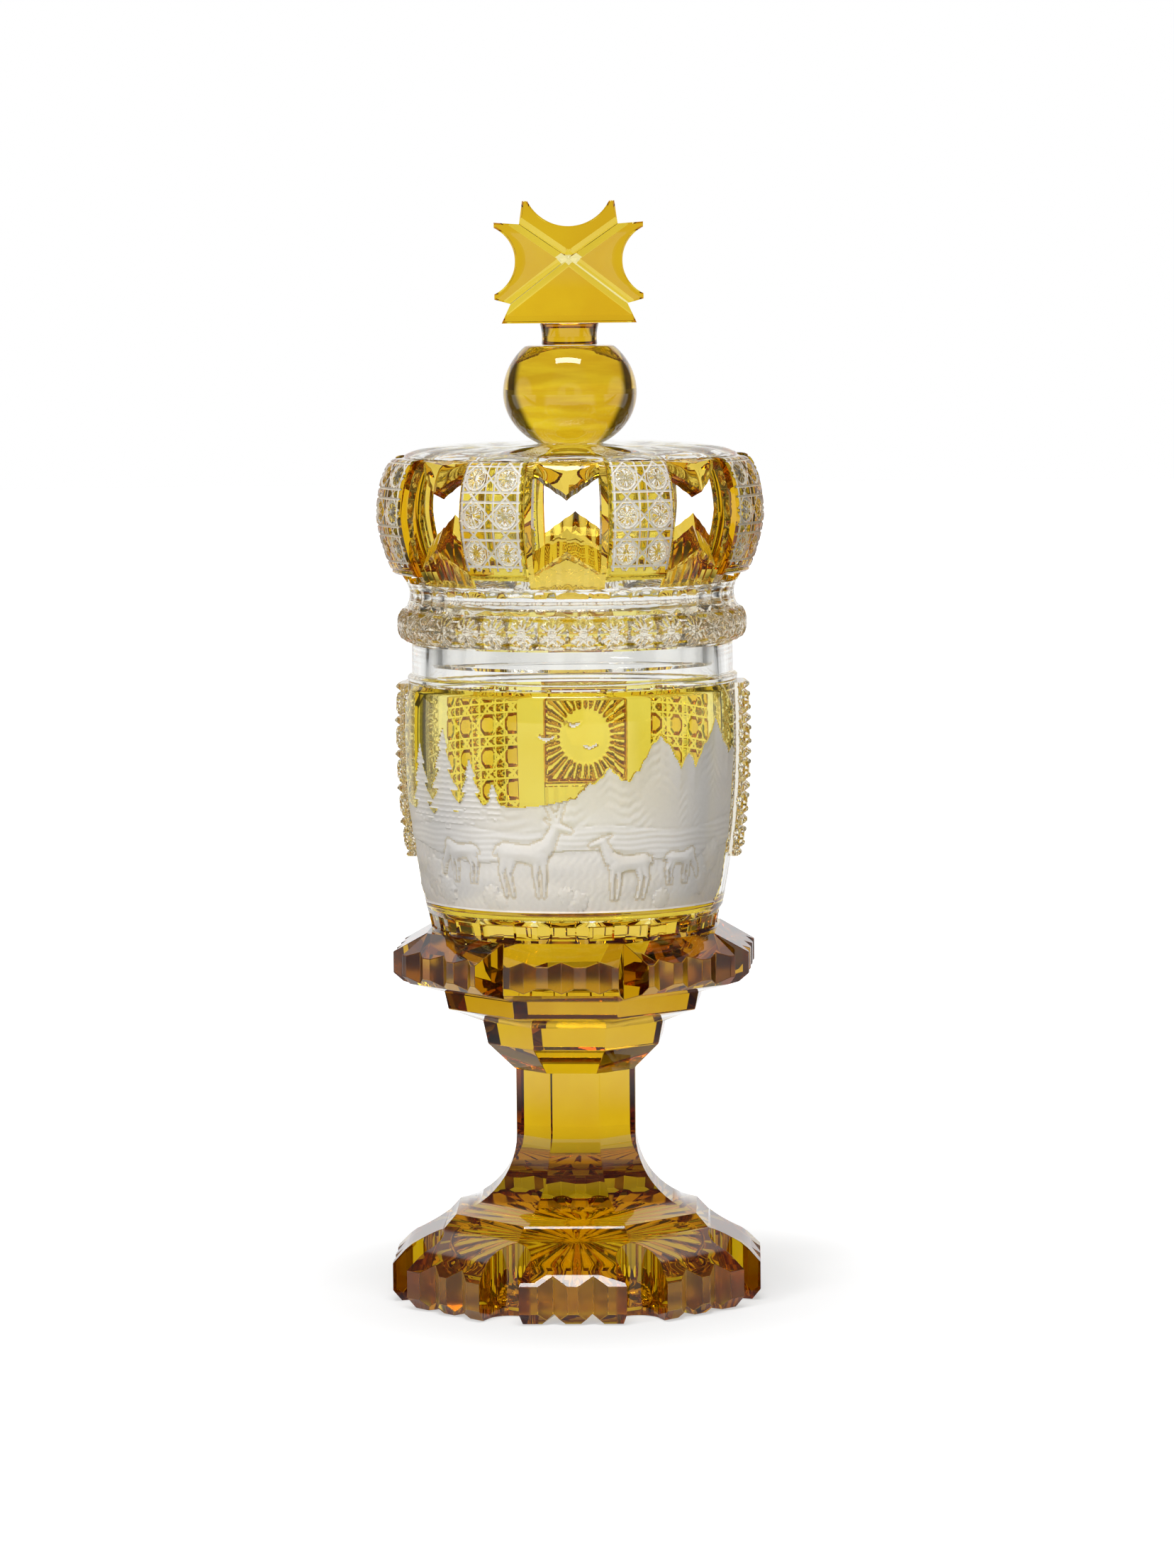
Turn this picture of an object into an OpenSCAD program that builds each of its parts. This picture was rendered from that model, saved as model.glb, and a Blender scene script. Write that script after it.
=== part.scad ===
// Covered glass goblet: an octagonal lobed foot, a faceted stem, a stepped calyx, a barrel bowl with
// raised cut panels, and a lift-off cover shaped as a pierced crown with a ball knop and a cross.
// Millimetres, +Z up, origin on the resting plane under the axis, the picture panel towards -Y.
// Octagonal sizes are given as the distance from the axis to a flat.

/* [Foot] */
// Axis to the end face of a lobe
foot_r = 60.5; // [56:0.5:64]
// Height of a lobe's end face
lobe_end_h = 12.6; // [11:0.2:14]
// Inward run of the steep facet over a lobe's end
lobe_edge_in = 4.1; // [2.5:0.1:5.5]
// Rise of that facet
lobe_edge_up = 4.3; // [2.5:0.1:5]
// Inward run of the narrow facet above it
lobe_brow_in = 2.2; // [1:0.1:3.5]
// Rise of that facet
lobe_brow_up = 1.7; // [0.8:0.1:2.2]
// Axis to the foot of the step inside the lobes
step_r = 43.3; // [42:0.1:46]
// Height of the foot of the step
step_z = 24.4; // [22:0.2:27]
// Axis to the upper edge of the step
tier_r = 39.5; // [36:0.1:41]
// Rise of the step
step_rise = 4.3; // [3:0.1:6]
// Width of the slot between two lobes
slot_w = 14; // [11:0.2:16]
// Axis to the round end of a slot
slot_end_r = 47.5; // [46:0.1:50]
// Depth of the grooves that part a lobe's teeth
tooth_groove_d = 2.8; // [1.5:0.1:3.2]
// Width of those grooves
tooth_groove_w = 9.6; // [5:0.1:10]
// Distance between the two grooves of a lobe
tooth_pitch = 13; // [11:0.1:14]
// Inward run of the bevel under a lobe's end
foot_bevel_in = 2.8; // [1:0.1:4]
// Rise of that bevel
foot_bevel_up = 3.6; // [1:0.1:5]
// Turn of the foot and the stem about the axis
foot_turn = -1.6; // [-8:0.1:8]
// Depth of the star grooves under the foot where they leave a lobe's end
star_d = 3.6; // [2:0.1:4.5]
// Width of the star grooves there
star_w = 8.2; // [5:0.1:9]
// Radius of the ground hollow under the foot
hollow_r = 36; // [30:0.5:38]
// Depth of that hollow
hollow_d = 1.2; // [0.6:0.1:2]

/* [Stem] */
// Axis to a flat of the stem
stem_r = 19.6; // [18:0.1:21]
// Radius of the flare between stem and foot
flare_bend = 26; // [22.5:0.5:32]
// Length of the straight stem
stem_len = 21.7; // [15:0.1:40]

/* [Calyx] */
// Turn of calyx and bowl against the foot, in degrees
bowl_turn = -4.5; // [-8:0.5:8]
// Axis to the lower edge of the lower tier
lower_r = 28.1; // [26:0.1:29]
// Axis to the upper edge of the lower tier
lower_top_r = 29.6; // [29.2:0.1:32]
// Height of the slope from the stem to the lower tier
lower_slope_h = 8.8; // [6:0.1:12]
// Height of the lower tier's wall
lower_wall_h = 7.5; // [5:0.1:10]
// Axis to the lower edge of the middle tier
middle_r = 40.5; // [38:0.1:41.4]
// Axis to the upper edge of the middle tier
middle_top_r = 41.7; // [41.5:0.1:44]
// Height of the slope under the middle tier
middle_slope_h = 4.6; // [3:0.1:7]
// Height of the middle tier's wall
middle_wall_h = 5.8; // [4:0.1:8]
// Axis to the end face of a flange lobe
flange_r = 58.3; // [56:0.1:60]
// Height of the slope under the flange
flange_slope_h = 3.7; // [2.5:0.1:6]
// Inward run of the bevel under a flange lobe
flange_bevel_in = 3.3; // [1.5:0.1:5]
// Rise of that bevel
flange_bevel_up = 2.8; // [1.5:0.1:4]
// Height of a flange lobe's end face
flange_end_h = 6.9; // [5:0.1:9]
// Height of the slope over the flange
flange_top_h = 6.2; // [4:0.1:9]
// Axis to the root of the notch between two flange lobes
notch_root_r = 50.5; // [49.5:0.1:53]
// Opening angle of that notch, in degrees
notch_angle = 52; // [40:1:70]
// Depth of the grooves in a flange lobe's end
flange_groove_d = 2.4; // [1.2:0.1:2.8]
// Width of those grooves
flange_groove_w = 8.4; // [5:0.1:9.5]
// Distance between the three grooves of a flange lobe
flange_groove_pitch = 12.2; // [10:0.1:12.6]

/* [Bowl] */
// Radius of the bowl where it stands on the calyx
bowl_base_r = 47.2; // [45:0.1:48]
// Radius of the bowl at its belly
belly_r = 54.6; // [53.5:0.1:56]
// Height of the bowl from calyx to rim
bowl_h = 95; // [90:0.5:110]
// Height of the belly above the bowl's base
belly_h = 64; // [60:0.5:68]
// Height of the plain lip at the rim
lip_h = 11; // [9:0.2:14]
// Outer radius of the lip
lip_r = 52.7; // [51.5:0.1:53.5]
// Height of the small bead under the lip
bead_h = 2.2; // [1.5:0.1:3]
// Radius of the bead
bead_r = 54.2; // [53.8:0.1:55]
// Inner radius of the mouth
mouth_r = 46.8; // [45.5:0.1:48]
// Thickness of the bowl's wall at the belly
bowl_wall = 6; // [4.5:0.1:7]
// Thickness of the bowl's floor
floor_h = 8; // [6:0.2:14]

/* [Panels] */
// Half angle covered by the picture panel, in degrees
picture_half = 75; // [65:1:78]
// Height of the picture panel
picture_h = 74; // [60:0.5:75]
// Height of the picture panel's lower edge above the bowl's base
picture_low = 7.5; // [6:0.1:9]
// How far the picture panel stands out
picture_out = 1.6; // [0.8:0.1:2.2]
// Half angle of a side panel, in degrees
side_half = 11; // [8:0.5:12]
// Middle of a side panel from the picture's middle, in degrees
side_at = 93; // [91:0.5:95]
// How far a side panel stands out
side_out = 4; // [2:0.1:5]
// Height of the side and back panels
cut_h = 57; // [40:0.5:57.5]
// Height of their lower edge above the bowl's base
cut_low = 24; // [20:0.5:24]
// Half angle of a lattice panel, in degrees
lattice_half = 19; // [14:0.5:20]
// Plain wall between a lattice panel and the sunburst panel, in degrees
lattice_gap = 10.5; // [7:0.5:11.5]
// Half angle of the sunburst panel, in degrees
sunburst_half = 16.5; // [12:0.5:18]
// How far the back panels stand out
back_out = 2; // [1:0.1:3]

/* [Cane pattern] */
// Repeat of the paired lines round the bowl
cane_w = 11; // [9:0.1:13]
// Repeat of the paired lines up the bowl
cane_h = 11.2; // [9:0.1:13]
// Half the distance between paired lines
cane_pair = 1.6; // [1.2:0.1:2]
// Half width of a line
cane_line = 0.9; // [0.6:0.1:1.1]
// Depth of the lines on a side panel
side_line_d = 1.3; // [0.4:0.1:1.5]
// Depth of the lines on a lattice panel
lattice_line_d = 0.9; // [0.3:0.1:0.9]
// Thickness of the weld behind a cane-cut panel
weld_gap = 0.1; // [0.08:0.01:0.2]

/* [Cover] */
// Turn of the cover against the foot, in degrees
cover_turn = -1.3; // [-20:0.1:20]
// Gap between the spigot and the bowl's mouth
spigot_gap = 0.6; // [0.3:0.1:1]
// Depth of the spigot in the mouth
spigot_h = 7.5; // [5:0.1:10]
// Thickness of the spigot's wall
spigot_wall = 3.4; // [2.5:0.1:4.5]
// Greatest radius of the rim that rests on the bowl
rim_r = 57.5; // [56.5:0.1:59]
// Height of the rim
rim_h = 11; // [9:0.1:13]
// Rise of the bevels above and below the rim
rim_bevel_up = 3.4; // [2:0.1:4]
// Inward run of those bevels
rim_bevel_in = 2.2; // [1:0.1:3]
// Height of the clear band
band_h = 8.5; // [7:0.1:10]
// Depth of the band's hollow at its waist
band_sweep = 1.2; // [0.4:0.1:1.6]
// Inner radius of rim, band and crown foot
cover_bore_r = 46.8; // [46:0.1:48.5]

/* [Crown] */
// Greatest radius of the crown under its straps
crown_r = 61.6; // [60:0.1:63]
// Height of the crown's lower half, from the band to the greatest radius
crown_low_h = 21.5; // [19:0.1:24]
// Height of the crown's upper half, up to the dome
crown_high_h = 19.2; // [18:0.1:22]
// Radius of the curve of the lower half
crown_bend = 55; // [40:1:120]
// Radius of the crown at its foot
crown_foot_r = 54.4; // [53.6:0.1:55]
// Radius of the crown under the dome
crown_top_r = 54.5; // [53:0.1:56]
// Thickness of the crown's wall
crown_wall = 5; // [4:0.1:6]
// Half width of a pierced opening on the inside
hole_half_w = 11; // [8:0.1:11.4]
// Height of an opening beside the straps
hole_side_h = 23; // [16:0.2:24]
// Height between the two teeth of an opening
hole_mid_h = 8.8; // [5:0.1:10]
// Height of an opening's middle above the band
hole_at = 24; // [23:0.1:24.5]
// Fall of an opening's lower faces, outward, per unit of wall
hole_fall = 1.4; // [0.5:0.1:1.6]
// Rise of its upper faces, outward, per unit of wall
hole_rise = 0.4; // [0.1:0.05:0.6]
// Half angle of a strap, in degrees
strap_half = 10; // [8:0.1:10.5]
// How far a strap stands out
strap_out = 3.2; // [2:0.1:4]
// Rise of the strap's lower end above the band
strap_low = 3; // [2:0.1:6]
// Rise of the dome from its edge to its top
dome_rise = 4; // [3:0.1:8]
// Thickness of the dome
dome_wall = 4.5; // [4:0.1:6]
// Radius of the dome's round shoulder as seen from above
dome_top_r = 30; // [24:0.5:36]

/* [Finial] */
// Radius of the ball knop
knop_r = 21.9; // [19:0.1:24]
// Height of the knop below its greatest radius
knop_low_h = 16.5; // [15:0.1:18]
// Height of the knop above its greatest radius
knop_high_h = 15.5; // [14:0.1:17]
// Radius of the knop's seat on the dome
knop_seat_r = 10.6; // [9:0.1:12]
// Radius of the knop's flat top
knop_top_r = 14.2; // [11:0.1:15]
// Radius of the neck below the cross
neck_r = 9.6; // [8.5:0.1:10.5]
// Narrowing of the neck at its lower end
neck_taper = 0.5; // [0:0.1:1]
// Height of the neck
neck_h = 7.2; // [5:0.1:12]
// Half width of the cross between its side tips
cross_half_w = 24.3; // [22:0.1:27]
// Height of the cross's middle above the neck
cross_mid_h = 21; // [19:0.1:23]
// Height of the upper tips above the middle
cross_up_h = 18.6; // [17:0.1:20]
// Half width of the cross at the upper tips
cross_up_w = 15; // [13:0.1:17]
// Half width of the cross's foot
cross_foot_w = 22; // [20:0.1:23.5]
// Thickness of the cross
cross_t = 11; // [8:0.2:14]
// Depth of the sweep cut into each side of the cross
cross_sweep = 6.8; // [4:0.1:8]
// Depth of the sweep cut into the top
cross_top_sweep = 8.2; // [5:0.1:9]
// Width of the cross's blunt tips
tip_w = 1.7; // [0.5:0.1:2.5]
// Width of the mitre grooves along the diagonals
mitre_w = 4.4; // [2:0.1:5]
// Depth of those grooves
mitre_d = 1.5; // [0.8:0.1:2.2]

/* [Hidden] */
$fn = 180;
lobes = 8;
turn = 360 / lobes;
arc_steps = 12;
past = 1;
wide = 4 * foot_r;

// Middle of a lattice panel from the picture's middle
lattice_at = lobes * turn / 2 - sunburst_half - lattice_gap - lattice_half;

// Heights of the joints, from the foot up
tier_z = step_z + step_rise;
flare_z = tier_z + sqrt(flare_bend * flare_bend - (stem_r + flare_bend - tier_r) * (stem_r + flare_bend - tier_r));
stem_top = flare_z + stem_len;
lower_wall_z = stem_top + lower_slope_h;
lower_top = lower_wall_z + lower_wall_h;
middle_wall_z = lower_top + middle_slope_h;
middle_top = middle_wall_z + middle_wall_h;
flange_bevel_z = middle_top + flange_slope_h;
flange_end_z = flange_bevel_z + flange_bevel_up;
flange_end_top = flange_end_z + flange_end_h;
bowl_z = flange_end_top + flange_top_h;
belly_z = bowl_z + belly_h;
rim_z = bowl_z + bowl_h;
lip_z = rim_z - lip_h;
band_z = rim_z + rim_h;
crown_z = band_z + band_h;
crown_mid = crown_z + crown_low_h;
dome_z = crown_mid + crown_high_h;
dome_top = dome_z + dome_rise;
knop_mid = dome_top + knop_low_h;
knop_top = knop_mid + knop_high_h;
neck_top = knop_top + neck_h;
cross_mid = neck_top + cross_mid_h;

// The barrel's bend, so that the wall passes through the base radius and the belly
belly_bend = (belly_h * belly_h + (belly_r - bowl_base_r) * (belly_r - bowl_base_r)) / (2 * (belly_r - bowl_base_r));
bead_z = lip_z - bead_h;
spigot_r = mouth_r - spigot_gap;

strap_names = [for (i = [1:lobes]) str("crown_strap_", i)];

amber = "goldenrod";
clear_glass = "lightcyan";
engraved = "whitesmoke";

// Points of a circular arc about (cx, cz), from angle a0 to a1
function arc(cx, cz, r, a0, a1, steps = arc_steps) =
    [for (i = [0:steps]) let (a = a0 + (a1 - a0) * i / steps) [cx + r * cos(a), cz + r * sin(a)]];

// Points of a quarter ellipse about (cx, cz), from angle a0 to a1
function oval(cx, cz, rx, rz, a0, a1, steps = arc_steps) =
    [for (i = [0:steps]) let (a = a0 + (a1 - a0) * i / steps) [cx + rx * cos(a), cz + rz * sin(a)]];

// Points of the arc of radius r that turns left on its way from p to q
function left_arc(p, q, r, steps = arc_steps) =
    let (d = q - p, half = norm(d) / 2, n = [-d[1], d[0]] / norm(d), c = (p + q) / 2 + n * sqrt(r * r - half * half),
         a0 = atan2(p[1] - c[1], p[0] - c[0]), a1 = atan2(q[1] - c[1], q[0] - c[0]))
    arc(c[0], c[1], r, a0, a1 < a0 ? a1 + 360 : a1, steps);

// Radius of the arc with this half chord and depth
function sweep_bend(half, depth) = (half * half + depth * depth) / (2 * depth);

function flipped(points) = [for (i = [len(points) - 1:-1:0]) [-points[i][0], points[i][1]]];
function reversed(points) = [for (i = [len(points) - 1:-1:0]) points[i]];

// An octagonal solid: the right-hand outline, from bottom to top, cut in four directions
module octagonal(outline) {
    intersection_for (k = [0:3]) rotate(turn * k) rotate([90, 0, 0])
        linear_extrude(height = wide, center = true) polygon(concat(outline, flipped(outline)));
}

// Copies round the axis, the first towards +X
module around(count) {
    for (k = [0:count - 1]) rotate(360 / count * k) children();
}

// The vertical grooves that part the teeth at the end of each lobe, at these distances from its middle
module tooth_grooves(r, places, w, d, z, h) {
    spread = w / 2 * (1 + past / d);
    around(lobes) for (place = places) translate([r, place, z]) linear_extrude(height = h)
        polygon([[-d, 0], [past, -spread], [past, spread]]);
}

// The star under the foot: one tapering groove from the hollow to each tooth groove
module star_grooves() {
    start_r = 0.9 * hollow_r;
    start_z = 0.25 * hollow_d;
    tilt = atan((star_d - start_z) / (foot_r - start_r));
    deep = star_d + past;
    around(lobes) for (side = [-1, 1]) rotate(side * atan(tooth_pitch / 2 / foot_r))
        translate([start_r, 0, start_z]) rotate([0, 90 - tilt, 0])
            linear_extrude(height = foot_r) polygon([[0, 0], [deep, deep * star_w / star_d / 2],
                                                      [deep, -deep * star_w / star_d / 2]]);
}

// One slot between two foot lobes, along +X, with a round inner end
module slot() {
    translate([slot_end_r + slot_w / 2, 0, -past]) {
        cylinder(d = slot_w, h = step_z + 2 * past);
        translate([0, -slot_w / 2, 0]) cube([foot_r, slot_w, step_z + 2 * past]);
    }
}

module foot() {
    edge = [foot_r - lobe_edge_in, lobe_end_h + lobe_edge_up];
    brow = edge + [-lobe_brow_in, lobe_brow_up];
    flare = arc(stem_r + flare_bend, flare_z, flare_bend,
                180 + asin((flare_z - tier_z) / flare_bend), 180);
    outline = concat([[foot_r - foot_bevel_in, 0], [foot_r, foot_bevel_up], [foot_r, lobe_end_h], edge, brow,
                      [step_r, step_z]], flare);
    color(amber) rotate(foot_turn) difference() {
        octagonal(outline);
        rotate(turn / 2) around(lobes) slot();
        tooth_grooves(foot_r, [-tooth_pitch / 2, tooth_pitch / 2], tooth_groove_w, tooth_groove_d, -past, step_z + past);
        star_grooves();
        translate([0, 0, -past]) cylinder(r = hollow_r, h = hollow_d + past);
    }
}

module stem() {
    color(amber) rotate(foot_turn) octagonal([[stem_r, flare_z], [stem_r, stem_top]]);
}

module calyx_lower() {
    color(amber) rotate(bowl_turn)
        octagonal([[stem_r, stem_top], [lower_r, lower_wall_z], [lower_top_r, lower_top]]);
}

module calyx_middle() {
    color(amber) rotate(bowl_turn)
        octagonal([[lower_top_r, lower_top], [middle_r, middle_wall_z], [middle_top_r, middle_top]]);
}

module calyx_flange() {
    corner_r = flange_r / cos(turn / 2) + past;
    notch_half = (corner_r - notch_root_r) * tan(notch_angle / 2);
    color(amber) rotate(bowl_turn) difference() {
        octagonal([[middle_top_r, middle_top], [flange_r - flange_bevel_in, flange_bevel_z],
                   [flange_r, flange_end_z], [flange_r, flange_end_top], [bowl_base_r, bowl_z]]);
        rotate(turn / 2) around(lobes) translate([0, 0, middle_top]) linear_extrude(height = bowl_z)
            polygon([[notch_root_r, 0], [corner_r, -notch_half], [corner_r, notch_half]]);
        tooth_grooves(flange_r, [-flange_groove_pitch, 0, flange_groove_pitch], flange_groove_w, flange_groove_d,
                      middle_top, bowl_z);
    }
}

// The barrel outline, standing out from the bowl's wall by the given amount
module barrel_disc(out = 0) {
    translate([belly_r - belly_bend, belly_z]) circle(r = belly_bend + out, $fn = 720);
}

module bowl() {
    color(clear_glass) rotate(bowl_turn) rotate_extrude() difference() {
        union() {
            intersection() {
                translate([0, bowl_z]) square([bead_r, bead_z - bowl_z]);
                barrel_disc();
            }
            translate([0, bead_z]) square([bead_r, bead_h]);
            translate([0, lip_z]) square([lip_r, lip_h]);
        }
        intersection() {
            translate([0, bowl_z + floor_h]) square([belly_r, lip_z - bowl_z - floor_h]);
            barrel_disc(-bowl_wall);
        }
        translate([0, bead_z]) square([mouth_r, rim_z - bead_z + past]);
    }
}

// A raised panel on the barrel: its middle at the given angle from the picture's middle
module raised_panel(at, half, low, height, out) {
    rotate(bowl_turn - 90 + at - half) rotate_extrude(angle = 2 * half) intersection() {
        translate([0, bowl_z + low]) square([belly_r + out, height]);
        difference() {
            barrel_disc(out);
            barrel_disc();
        }
    }
}

// Radius of the barrel at a height
function barrel_r(z, out = 0) = belly_r - belly_bend
    + sqrt((belly_bend + out) * (belly_bend + out) - (z - belly_z) * (z - belly_z));

// Grid lines of a cane pattern from one end to the other, each with its depth: both ends, and the
// edges and root of every line that has room
function cane_lines(from, to, repeat, d) = concat(
    [[from, 0]],
    [for (k = [floor(from / repeat):ceil(to / repeat)], side = [-1, 1])
        let (root = k * repeat + side * cane_pair)
        if (root - cane_line > from && root + cane_line < to)
            each [[root - cane_line, 0], [root, d], [root + cane_line, 0]]],
    [[to, 0]]);

// Two triangles over the corners of a grid cell
function halves(a, b, c, d) = [[a, b, c], [a, c, d]];

// A raised panel cut with paired lines across and along
module cane_panel(at, half, low, height, out, d) {
    arc = half * PI / 180 * belly_r;
    columns = cane_lines(-arc, arc, cane_w, d);
    rows = cane_lines(0, height, cane_h, d);
    n = len(columns);
    m = len(rows);
    back = n * m;
    outside = [for (u = columns, v = rows) let (z = bowl_z + low + v[0], a = u[0] / arc * half)
        [(barrel_r(z, out) - max(u[1], v[1])) * cos(a), (barrel_r(z, out) - max(u[1], v[1])) * sin(a), z]];
    inside = [for (u = columns, v = rows) let (z = bowl_z + low + v[0], a = u[0] / arc * half)
        [(barrel_r(z) + weld_gap) * cos(a), (barrel_r(z) + weld_gap) * sin(a), z]];
    faces = concat(
        [for (i = [0:n - 2], j = [0:m - 2]) let (a = i * m + j)
            each concat(halves(a, a + 1, a + m + 1, a + m),
                        halves(back + a, back + a + m, back + a + m + 1, back + a + 1))],
        [for (i = [0:n - 2]) let (a = i * m, b = a + m - 1)
            each concat(halves(a, a + m, back + a + m, back + a), halves(b + m, b, back + b, back + b + m))],
        [for (j = [0:m - 2]) let (a = j, b = (n - 1) * m + j)
            each concat(halves(a + 1, a, back + a, back + a + 1), halves(b, b + 1, back + b + 1, back + b))]);
    rotate(bowl_turn - 90 + at) polyhedron(concat(outside, inside), faces);
}

module picture_panel() { color(engraved) raised_panel(0, picture_half, picture_low, picture_h, picture_out); }
module cut_panel(side) {
    color(clear_glass) cane_panel(side * side_at, side_half, cut_low, cut_h, side_out, side_line_d);
}
module lattice_panel(side) {
    color(amber) cane_panel(side * lattice_at, lattice_half, cut_low, cut_h, back_out, lattice_line_d);
}
module sunburst_panel() { color(amber) raised_panel(180, sunburst_half, cut_low, cut_h, back_out); }

module cover_spigot() {
    color(clear_glass) translate([0, 0, rim_z - spigot_h]) difference() {
        cylinder(r = spigot_r, h = spigot_h);
        translate([0, 0, -past]) cylinder(r = spigot_r - spigot_wall, h = spigot_h + 2 * past);
    }
}

module cover_rim() {
    color(clear_glass) rotate_extrude() polygon([
        [spigot_r - spigot_wall, rim_z], [rim_r - rim_bevel_in, rim_z], [rim_r, rim_z + rim_bevel_up],
        [rim_r, band_z - rim_bevel_up], [rim_r - rim_bevel_in, band_z], [spigot_r - spigot_wall, band_z]]);
}

module crown_band() {
    waist = left_arc([crown_foot_r, crown_z], [crown_foot_r, band_z], sweep_bend(band_h / 2, band_sweep));
    color(clear_glass) rotate_extrude() polygon(concat(
        [[cover_bore_r, crown_z]], waist, [[cover_bore_r, band_z]]));
}

// The crown's side from the band to the dome, standing out by the given amount
function crown_side(out) = concat(
    left_arc([crown_foot_r + out, crown_z], [crown_r + out, crown_mid], crown_bend),
    oval(crown_top_r + out, crown_mid, crown_r - crown_top_r, crown_high_h, 0, 90));

module crown_shell() {
    rotate_extrude() polygon(concat(crown_side(0), reversed(crown_side(-crown_wall))));
}

// The cutter of one pierced opening, along +X: an hourglass that opens outward through the wall
module opening() {
    z = crown_z + hole_at;
    rings = [[-crown_r / 4, 0], [0, 0], [crown_wall + past, 1]];
    points = [for (r = rings) let (x = crown_r - crown_wall + r[0], fall = r[1] * hole_fall * (crown_wall + past),
                                   rise = r[1] * hole_rise * (crown_wall + past), w = hole_half_w + r[1] * past)
        each [[x, -w, z - hole_side_h / 2 - fall], [x, 0, z - hole_mid_h / 2 - fall], [x, w, z - hole_side_h / 2 - fall],
              [x, w, z + hole_side_h / 2 + rise], [x, 0, z + hole_mid_h / 2 + rise],
              [x, -w, z + hole_side_h / 2 + rise]]];
    sides = [for (k = [0, 6]) for (i = [0:5]) let (j = (i + 1) % 6) [k + i, k + i + 6, k + j + 6, k + j]];
    polyhedron(points = points, faces = concat([[0, 1, 2, 3, 4, 5]], [[17, 16, 15, 14, 13, 12]], sides));
}

module crown_arcade() {
    color(amber) rotate(cover_turn - 90) difference() {
        crown_shell();
        around(lobes) opening();
    }
}

module crown_strap(i) {
    low = crown_z + strap_low;
    color(clear_glass) rotate(cover_turn - 90 + turn * (i - 0.5) - strap_half) rotate_extrude(angle = 2 * strap_half)
        intersection() {
            polygon(concat(crown_side(strap_out), reversed(crown_side(0))));
            translate([0, low]) square([crown_r + strap_out + past, dome_z - low]);
        }
}

module crown_dome() {
    color(clear_glass) rotate_extrude() polygon(concat(
        [[crown_top_r, dome_z]], oval(dome_top_r, dome_z, crown_top_r - dome_top_r, dome_rise, 0, 90),
        [[0, dome_top], [0, dome_top - dome_wall]],
        reversed(oval(dome_top_r - dome_wall, dome_z, crown_top_r - crown_wall - dome_top_r + dome_wall,
                      dome_rise - dome_wall, 0, 90))));
}

module knop() {
    low_bend = knop_low_h / sqrt(1 - knop_seat_r * knop_seat_r / knop_r / knop_r);
    high_bend = knop_high_h / sqrt(1 - knop_top_r * knop_top_r / knop_r / knop_r);
    color(amber) rotate_extrude() polygon(concat(
        [[0, dome_top]], oval(0, knop_mid, knop_r, low_bend, -asin(knop_low_h / low_bend), 0),
        oval(0, knop_mid, knop_r, high_bend, 0, asin(knop_high_h / high_bend)), [[0, knop_top]]));
}

module finial_neck() {
    color(amber) translate([0, 0, knop_top]) cylinder(r1 = neck_r - neck_taper, r2 = neck_r, h = neck_h);
}

module cross() {
    notch_w = 0.5 * (cross_up_w + cross_half_w) - 3.6;
    tip_z = cross_up_h * 0.63;
    side_half_h = (tip_z + cross_mid_h * 0.63) / 2;
    side_mid = (tip_z - cross_mid_h * 0.63) / 2;
    side_bend = sweep_bend(side_half_h - tip_w, cross_sweep);
    top_bend = sweep_bend(cross_up_w - tip_w, cross_top_sweep);
    mitre_open = mitre_w / 2 * (mitre_d + past) / mitre_d;
    half = [[cross_foot_w, -cross_mid_h], [notch_w + 3, -cross_mid_h * 0.7], [cross_half_w, -cross_mid_h * 0.63],
            [cross_half_w, tip_z], [notch_w, tip_z * 0.95], [cross_up_w, cross_up_h]];
    color(amber) translate([0, 0, cross_mid]) rotate([90, 0, 0]) difference() {
        linear_extrude(height = cross_t, center = true) difference() {
            polygon(concat(half, flipped(half)));
            translate([0, cross_up_h - cross_top_sweep + top_bend]) circle(r = top_bend);
            for (side = [-1, 1]) translate([side * (cross_half_w - cross_sweep + side_bend), side_mid]) circle(r = side_bend);
        }
        for (face = [-1, 1]) for (tip = [[notch_w, tip_z * 0.95], [notch_w + 3, -cross_mid_h * 0.7]])
            for (side = [-1, 1]) rotate(atan2(tip[1], side * tip[0])) translate([-mitre_w / 2, 0, face * cross_t / 2])
                rotate([0, 90, 0]) linear_extrude(height = 2 * cross_half_w)
                    polygon([[face * mitre_d, 0], [-face * past, mitre_open], [-face * past, -mitre_open]]);
    }
}

foot();
stem();
calyx_lower();
calyx_middle();
calyx_flange();
bowl();
picture_panel();
cut_panel(-1);  // cut_panel_left
cut_panel(1);  // cut_panel_right
lattice_panel(-1);  // lattice_panel_left
lattice_panel(1);  // lattice_panel_right
sunburst_panel();
cover_spigot();
cover_rim();
crown_band();
crown_arcade();
for (i = [1:lobes]) crown_strap(i);
crown_dome();
knop();
finial_neck();
cross();
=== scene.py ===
"""Covered cut-glass goblet in amber and clear glass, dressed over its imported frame.

Every piece is a closed glass solid. Where two pieces are welded, both meeting faces carry a clear
weld skin, so that light passes from one piece to the next as it does in one body of glass. Lengths
in the dataclass fields are in millimetres and angles in degrees, apart from the studio's, which are
in metres; meshes are in metres. In their names _r stands for a radius, _h for a height, _z for a
level and _d for a depth, and a class explains only the fields whose names don't.
"""

import logging
import math
from collections.abc import Callable, Sequence
from dataclasses import dataclass
from enum import Enum, IntEnum

import bmesh
import bpy
import numpy as np
from mathutils import Matrix, Vector


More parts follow.
